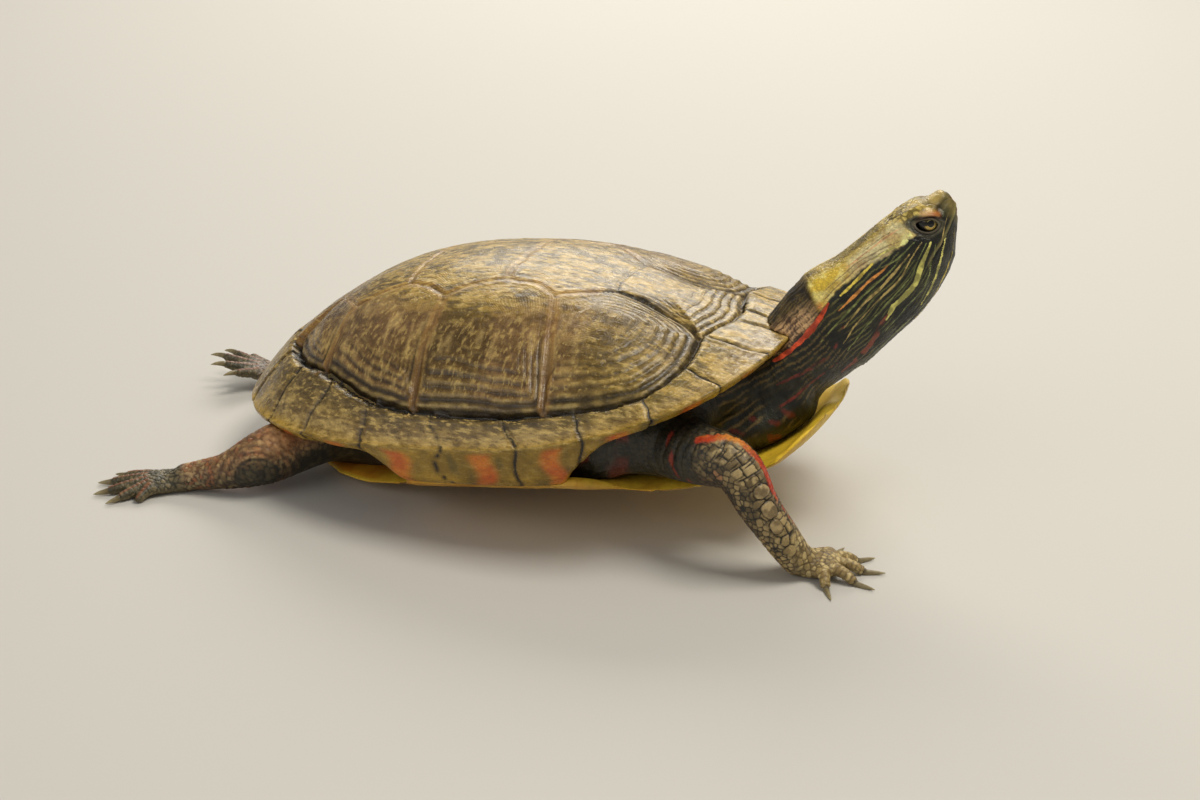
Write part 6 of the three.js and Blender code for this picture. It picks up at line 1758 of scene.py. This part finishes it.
    # ---------------- feet
    atfoot = np.zeros(n)
    for k, leg in LEGS.items():
        p = leg["palm"]
        z = near_box(P, np.array([p["at"]]), 17)
        loc = in_foot(p, P[z])
        toes = leg["toes"] + ([leg["fifth"]] if leg["fifth"] else [])
        fw = smooth(-6.5, -3.0, loc[:, 0]) * (np.linalg.norm(loc, axis=1) < 19)
        atfoot[z] = np.maximum(atfoot[z], fw)
        best_q = np.full(len(z), 9.0)
        ts = np.zeros(len(z))
        tp = np.zeros(len(z))
        for t in toes:
            ax = limb_axis(toe_keys(t, p, leg["toe_r"]), 24)
            s_, ph, q, rad = along(ax, loc)
            near = q < best_q
            best_q, ts, tp = np.where(near, q, best_q), np.where(near, s_, ts), np.where(near, ph, tp)
        ontoe = smooth(1.5, 1.15, best_q) * smooth(2.0, 3.4, ts)
        topside = smooth(-0.2, 0.5, F.normal(P[z])[:, 2])
        bars = 1 - np.abs(np.sin((ts + 0.25 * vnoise(P[z], 2, 180)) * math.pi / 1.25))
        sc = worley(P[z] * [1, 1, 0.8], 1.35, 181, 0.65)
        e = smooth(0.02, 0.28, sc[1] - sc[0])
        hh = mix(0.22 * (e - 0.5), -0.22 * bars ** 3 + 0.06, ontoe * topside)
        old = h[z]
        h[z] = mix(old, hh, fw)
        if "fore" in k:
            c = lerp(srgb(148, 124, 76) + 0 * P[z], srgb(220, 196, 136), smooth(0.1, 0.9, sc[2]) * e)
            c = lerp(c, srgb(74, 60, 36), 0.75 * (1 - e) * (1 - ontoe) + 0.6 * ontoe * bars ** 3)
        else:
            c = lerp(srgb(70, 66, 46) + 0 * P[z], srgb(122, 108, 76), smooth(0.1, 0.9, sc[2]) * e)
            c = lerp(c, srgb(36, 33, 24), 0.7 * (1 - e) * (1 - ontoe) + 0.6 * ontoe * bars ** 3)
            c = lerp(c, srgb(176, 92, 52), 0.35 * ontoe * topside * smooth(0.5, 0.2, np.abs(tp)))
            if k.endswith("left"):
                c = lerp(c, srgb(150, 108, 88), 0.45 * smooth(6, 0, loc[:, 0]))
        c = lerp(c, srgb(118, 104, 70), smooth(0.1, -0.4, F.normal(P[z])[:, 2]) * 0.5)
        col[z] = lerp(col[z], c, fw)
    # ---------------- tail
    sT, pT, rT = data["tail"].T
    wt = np.where(share["tail"] < 3, smooth(1.8, 1.15, share["tail"]), 0) * (share["tail"] <= best * 1.3)
    tr = 1 - np.abs(np.sin(sT * math.pi / 1.7))
    h += wt * (-0.20 * tr ** 3 + 0.05)
    tail_c = lerp(dark, srgb(86, 78, 54), 0.5 * smooth(-0.3, 0.4, n2))
    tl = np.abs(np.abs(pT) - 1.3) * np.maximum(rT, 0.6) + 0.25 * n3
    tail_c = lerp(tail_c, srgb(168, 72, 36), 0.75 * smooth(0.62, 0.28, tl))
    tail_c = lerp(tail_c, srgb(176, 146, 74), 0.60 * smooth(0.42, 0.16, np.abs(np.abs(pT) - 0.55) * np.maximum(rT, 0.6)))
    tail_c = lerp(tail_c, srgb(28, 26, 20), 0.6 * tr ** 4)
    col = lerp(col, tail_c, wt)
    # ---------------- loose skin between the shells
    tw_ = trunk_w * (wn < 0.5) * (1 - atfoot)
    q1 = vnoise(P, 6, 190) * 2.0 + vnoise(P, 2.4, 191) * 0.7
    fold1 = 1 - np.abs(np.sin((P[:, 0] * 0.9 + P[:, 2] * 0.5 + q1) * math.pi / 2.7))
    h += tw_ * (-0.42 * fold1 ** 2.5 + 0.10)
    g_ = cells(P, 1.2, 192, 0.8, tw_ > 0)
    ge = smooth(0.02, 0.3, g_[1] - g_[0])
    h += tw_ * 0.08 * (ge - 0.5)
    tr_c = lerp(dark, srgb(78, 76, 60), 0.55 * ge * smooth(-0.4, 0.4, n2))
    # painted shade in the grooves of the skin folds
    tr_c = lerp(tr_c, srgb(22, 21, 16), 0.6 * fold1 ** 4)
    redst = smooth(0.30, 0.44, vnoise(P * [0.9, 0.45, 0.45], 3.0, 193)) * smooth(-0.25, 0.2, n1)
    tr_c = lerp(tr_c, srgb(146, 48, 32), 0.72 * redst * (P[:, 0] > 20))
    tr_c = lerp(tr_c, srgb(118, 96, 76), 0.4 * (P[:, 0] < -20) * smooth(-0.2, 0.4, n2))
    col = lerp(col, tr_c, tw_)
    # short dull red marks on the breast, on both sides
    here = smooth(22, 40, P[:, 0]) * (P[:, 2] < 46) * (share["neck"] > 0.7)
    for a, b in (((67.2, 16.2, 31.0), (69.8, 14.2, 28.4)), ((71.0, 15.8, 30.4), (74.0, 13.6, 28.8)), ((74.6, 12.6, 32.6), (77.0, 11.0, 30.6)),
                 ((67.0, 12.6, 33.4), (71.0, 10.8, 32.0)), ((63.2, 18.4, 27.4), (66.4, 17.4, 26.4)), ((59.4, 17.0, 30.4), (61.6, 15.8, 28.4)), ((55.0, 18.5, 31.0), (57.5, 17.0, 30.0))):
        a, b = np.array(a), np.array(b)
        for y0, sy in ((-2.5, -1), (-2.5, 1)):
            A_, B_ = a * [1, 0, 1] + [0, (a[1] - 2.5) * sy + y0, 0], b * [1, 0, 1] + [0, (b[1] - 2.5) * sy + y0, 0]
            tt = np.clip((P - A_) @ (B_ - A_) / ((B_ - A_) @ (B_ - A_)), 0, 1)
            dd = np.linalg.norm(P - A_ - tt[:, None] * (B_ - A_), axis=1) + 0.5 * n2 + 0.25 * n3
            col = lerp(col, srgb(112, 40, 27), 0.72 * here * smooth(0.95, 0.45, dd))
    # nothing is pushed below the floor, and flats stay flat
    flat = smooth(0.6, 0.05, base[:, 2])
    h *= 1 - flat
    h = np.clip(h, -0.8, 0.95)
    P = P + N * h[:, None]
    P, e_lid, up_lid = shape_eyes(P)
    # lids: dark grey-brown rims, pinkish brow, painted shade in the crease round the lid and a painted reflection along
    # the wet lid margin
    lid = smooth(2.15, 1.75, e_lid)
    lid_c = lerp(srgb(58, 56, 44) + 0 * P, srgb(98, 94, 70), smooth(-0.3, 0.5, n2))
    # painted shade in the crease round the lid
    lid_c = lerp(lid_c, srgb(34, 31, 24), np.exp(-((e_lid - 1.45) / 0.14) ** 2) * 0.8)
    # painted reflection: pale line along the wet lid margin
    lid_c = lerp(lid_c, srgb(112, 92, 66), np.exp(-((e_lid - 1.14) / 0.09) ** 2) * 0.5)
    lid_c = lerp(lid_c, srgb(24, 20, 15), smooth(1.06, 0.98, e_lid))
    col = lerp(col, lid_c, lid * (e_lid < 3))
    line_k = line_k * (1 - lid * (e_lid < 3))
    E, g, t1, t2 = eye_axes(1)
    for s in (1, -1):
        E, g, t1, t2 = eye_axes(s)
        q = P - E
        a, b, c = q @ t1, q @ t2, q @ g
        near = (c > 0.3) & (np.hypot(a, b) < 5.5)
        bw = np.exp(-((b - 2.45 + 0.06 * a * a) / 0.62) ** 2) * smooth(3.4, 1.8, np.abs(a - 0.2)) * near
        col = lerp(col, lerp(srgb(176, 98, 42) + 0 * P, srgb(206, 164, 108), smooth(1.2, -1.8, a + 0.4 * n2)), 0.9 * bw)
        # painted shade in the crease between lid and brow
        cw = np.exp(-((b - 1.60 + 0.07 * a * a) / 0.30) ** 2) * smooth(3.6, 2.4, np.abs(a + 0.3)) * near
        col = lerp(col, srgb(52, 30, 14), 0.85 * cw)
    col = np.clip(col * (1 + 0.10 * n3)[:, None], 0, 1)
    P[:, 2] = np.maximum(P[:, 2], 0.0)
    faces = quads.tolist() + others
    pebble = np.clip(1.0 - 0.7 * np.maximum(beak * (share["neck"] < 3), lid) - 0.65 * onhead * crown, 0, 1)
    return P, faces, col, dict(pebble=pebble, wet=wet, fold=np.clip(-h * 2, 0, 1), line_d=line_d, line_k=line_k, line_c=line_c)


def skin_material():
    m = Nodes("skin")
    col = m.attr("Col", "Color")
    edge = m.math("ADD", m.attr("line_d"), m.math("MULTIPLY", m.math("SUBTRACT", m.noise(1500, 3, 0.6), 0.5), 0.30))
    col = m.mix(m.math("MULTIPLY", m.ramp(edge, 0.07, -0.05, 0.0, 1.0), m.attr("line_k")), col, m.attr("line_c", "Color"))
    n1 = m.noise(1300, 4, 0.6)
    n2 = m.noise(3600, 2, 0.6)
    col = m.mix(m.ramp(n1, 0.52, 0.70, 0.0, 0.35), col, m.mix(1.0, col, (1.6, 1.5, 1.3), "MULTIPLY"))
    col = m.mix(m.ramp(n1, 0.32, 0.46, 0.40, 0.0), col, m.mix(1.0, col, (0.5, 0.48, 0.45), "MULTIPLY"))
    v = m.voronoi(2100, "F1")
    peb = m.attr("pebble")
    b1 = m.bump(m.math("MULTIPLY", m.ramp(v, 0.65, 0.10), peb), 0.30, 0.0002)
    b2 = m.bump(n1, 0.30, 0.0003, b1)
    b3 = m.bump(n2, 0.15, 0.0001, b2)
    rough = m.ramp(m.noise(500, 4, 0.6), 0.35, 0.7, 0.36, 0.58)
    m.set(Base_Color=col, Roughness=rough, Normal=b3, Specular_IOR_Level=0.45, Coat_Weight=0.08, Coat_Roughness=0.3)
    return m.mat


SHELL_CO, SHELL_FACES = shell_keep
PLASTRON_CO, PLASTRON_FACES = plastron_keep
co, faces, col, attrs = build_skin()
skin = new_piece("skin", co, faces, col, attrs)
skin.data.materials.append(skin_material())
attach(skin, "root")
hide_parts("trunk", "neck", "head", "tail", *[f"{k}_{part}" for k in LEGS for part in ("upper", "lower")], *[k.replace("leg", "foot") for k in LEGS])

# ------------------------------------------------------------------ eyes
def build_eye(s):
    """Eyeball, a plain sphere; +1 is the animal's right."""
    E, g, t1, t2 = eye_axes(s)
    NT, NP = 96, 128
    th = np.concatenate([np.linspace(0, 0.95, 60)[1:], np.linspace(0.95, math.pi, NT - 60)[1:-1]])
    ph = np.arange(NP) / NP * 2 * math.pi
    rows = []
    for t in th:
        rr = EYE_R * (1 + 0.0 * ph)
        rho = EYE_R * math.sin(t)
        if t < math.pi / 2:
            rr = rr + 0.16 * float(smooth(1.75, 1.1, rho)) * 0 - 0.02
        d = g * math.cos(t) + (t1 * np.cos(ph)[:, None] + t2 * np.sin(ph)[:, None]) * math.sin(t)
        rows.append(E + d * np.asarray(rr)[:, None] if np.ndim(rr) else E + d * rr)
    P = np.vstack([E + g * (EYE_R - 0.02)] + rows + [E - g * EYE_R])
    faces = [[0, 1 + i, 1 + (i + 1) % NP] for i in range(NP)]
    for k in range(len(rows) - 1):
        a, b = 1 + k * NP, 1 + (k + 1) * NP
        faces += [[a + i, b + i, b + (i + 1) % NP, a + (i + 1) % NP] for i in range(NP)]
    a, e = 1 + (len(rows) - 1) * NP, len(P) - 1
    faces += [[a + i, e, a + (i + 1) % NP] for i in range(NP)]
    fc = np.array(faces[NP])
    n = np.cross(P[fc[1]] - P[fc[0]], P[fc[2]] - P[fc[0]])
    if n @ (P[fc[0]] - E) < 0:
        faces = [f[::-1] for f in faces]
    q = P - E
    a, b, c = q @ t1, q @ t2, q @ g
    a0, b0 = a, b
    rho = np.hypot(a0, b0)
    ang = np.arctan2(b0, a0)
    front = c > 0
    streak = 0.5 + 0.5 * np.sin(ang * 34 + 3 * vnoise(P, 0.5, 301)) * np.sin(ang * 13 + 1.3)
    iris = lerp(srgb(196, 160, 62) + 0 * P, srgb(236, 208, 120), np.clip(streak, 0, 1) * smooth(1.0, 1.6, rho))
    # bright crescent under the pupil, the rest of the iris in shade
    low_ = smooth(0.25, -0.45, b0 / np.maximum(rho, 1e-6) - 0.25 * a0 / np.maximum(rho, 1e-6)) * smooth(1.70, 1.40, rho)
    iris = lerp(lerp(srgb(58, 48, 24) + 0 * P, srgb(104, 86, 40), np.clip(streak, 0, 1)), iris, np.clip(low_, 0, 1))
    iris = lerp(iris, srgb(70, 52, 24), 0.7 * smooth(1.55, 1.95, rho))
    dark = srgb(12, 11, 8) + 0 * P
    bar = smooth(0.62, 0.40, np.abs(b0 + 0.05) + 0.08 * vnoise(P, 0.4, 303)) * np.where(a0 > 0, 0.55, 1.0)
    ring = smooth(0.92, 0.84, rho)
    lim = smooth(1.80, 1.98, rho)
    col = lerp(iris, dark, np.maximum(bar * 0.96, lim))
    gold = np.exp(-((rho - 0.97) / 0.07) ** 2) * 0.75
    col = lerp(col, srgb(240, 220, 140), gold * (1 - bar))
    col = lerp(col, srgb(3, 3, 2) + 0 * P, ring)
    col = np.where(front[:, None], col, dark)
    return P, faces, col


def eye_material():
    m = Nodes("eye")
    col = m.attr("Col", "Color")
    n = m.noise(2600, 3, 0.6)
    col = m.mix(m.ramp(n, 0.45, 0.7, 0.0, 0.25), col, m.mix(1.0, col, (1.5, 1.45, 1.3), "MULTIPLY"))
    b = m.bump(m.noise(1200, 2, 0.5), 0.05, 0.0001)
    m.set(Base_Color=col, Roughness=0.32, Normal=b, Specular_IOR_Level=0.2, Coat_Weight=0.7, Coat_Roughness=0.03)
    return m.mat


eye_mat = eye_material()
for s, side in ((1, "right"), (-1, "left")):
    co, faces, col = build_eye(s)
    eye = new_piece("eyeball_" + side, co, faces, col)
    eye.data.materials.append(eye_mat)
    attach(eye, "root")
    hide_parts("eye_" + side)


# ------------------------------------------------------------------ claws
def build_claws(leg):
    """All claws of a foot: curved, pointed, a little keeled on top."""
    P, F, C = [], [], []
    base = 0
    for t in leg["toes"]:
        keys = claw_keys(leg, t)
        keys = [(tuple(np.array(k[0])), k[1] * (1.08 if i < 3 else 0.85), k[2] * (1.05 if i < 3 else 0.85), k[3]) for i, k in enumerate(keys)]
        rings = limb_rings(keys, 0, 3, 22, 20, 0.5, 0.16)
        n = len(rings)
        out = []
        for i, ring in enumerate(rings):
            c = ring.mean(0)
            q = ring - c
            top = q[:, 2] > 0
            lat = np.hypot(q[:, 0], q[:, 1])
            q[:, 2] *= np.where(top, 1.10 - 0.10 * lat / max(lat.max(), 1e-6), 0.82)
            out.append(c + q)
        pts, tri = tube(out)
        s = np.concatenate([np.repeat(np.arange(n) / (n - 1), 20), [0, 1]])
        q1 = vnoise(pts, 0.8, 311)
        col = lerp(srgb(112, 98, 66) + 0 * pts, srgb(172, 158, 116), smooth(0.15, 0.95, s + 0.12 * q1))
        col = lerp(col, srgb(58, 48, 32), 0.75 * smooth(0.30, 0.10, s))
        P.append(place_foot(leg["palm"], pts)); F.append(tri + base); C.append(col)
        base += len(pts)
    P = np.vstack(P)
    P[:, 2] = np.maximum(P[:, 2], 0.0)
    return P, np.concatenate(F).tolist(), np.vstack(C)


def claw_material():
    m = Nodes("claw")
    col = m.attr("Col", "Color")
    n = m.noise(1500, 4, 0.6)
    col = m.mix(m.ramp(n, 0.42, 0.68, 0.0, 0.45), col, m.mix(1.0, col, (0.55, 0.5, 0.45), "MULTIPLY"))
    b = m.bump(m.noise(1800, 3, 0.6, m.obj((1, 1, 0.4))), 0.22, 0.0002)
    m.set(Base_Color=col, Roughness=m.ramp(n, 0.3, 0.7, 0.28, 0.45), Normal=b, Specular_IOR_Level=0.5, Coat_Weight=0.1, Coat_Roughness=0.2)
    return m.mat


claw_mat = claw_material()
COUNT = ["first", "second", "third", "fourth", "fifth"]
for name, leg in LEGS.items():
    foot = name.replace("leg", "")
    co, faces, col = build_claws(leg)
    claws = new_piece("claws_" + foot, co, faces, col)
    claws.data.materials.append(claw_mat)
    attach(claws, "root")
    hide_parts(*[f"claw_{foot}_{COUNT[i]}" for i in range(len(leg["toes"]))])

# ------------------------------------------------------------------ stage
def make_stage():
    me = bpy.data.meshes.new("floor")
    s = 6.0
    me.from_pydata([(-s, -s, 0), (s, -s, 0), (s, s, 0), (-s, s, 0)], [], [(0, 1, 2, 3)])
    o = bpy.data.objects.new("floor", me)
    bpy.context.scene.collection.objects.link(o)
    m = Nodes("floor")
    m.set(Base_Color=(0.66, 0.64, 0.60, 1), Roughness=0.75)
    me.materials.append(m.mat)
    w = bpy.data.worlds.new("studio")
    w.use_nodes = True
    bg = w.node_tree.nodes["Background"]
    bg.inputs[0].default_value = (1.0, 0.985, 0.95, 1)
    bg.inputs[1].default_value = 0.25
    bpy.context.scene.world = w
    view = bpy.context.scene.view_settings
    view.view_transform, view.look = "Standard", "None"

    def area(name, at, to, size, power, colour):
        l = bpy.data.lights.new(name, "AREA")
        l.shape = "RECTANGLE"
        l.size, l.size_y = size
        l.energy = power
        l.color = colour
        o = bpy.data.objects.new(name, l)
        d = Vector(to) - Vector(at)
        o.rotation_euler = d.to_track_quat("-Z", "Y").to_euler()
        o.location = at
        bpy.context.scene.collection.objects.link(o)

    area("key", (0.35, 0.05, 0.85), (0.0, 0.0, 0.03), (0.45, 0.35), 4.6, (1.0, 0.95, 0.84))
    area("fill", (-0.45, -0.85, 0.55), (0.0, 0.0, 0.03), (0.9, 0.6), 1.7, (1.0, 0.98, 0.94))
    area("rim", (-0.24, 0.8, 0.56), (0.0, 0.0, 0.04), (0.7, 0.4), 5.4, (1.0, 0.95, 0.85))


make_stage()
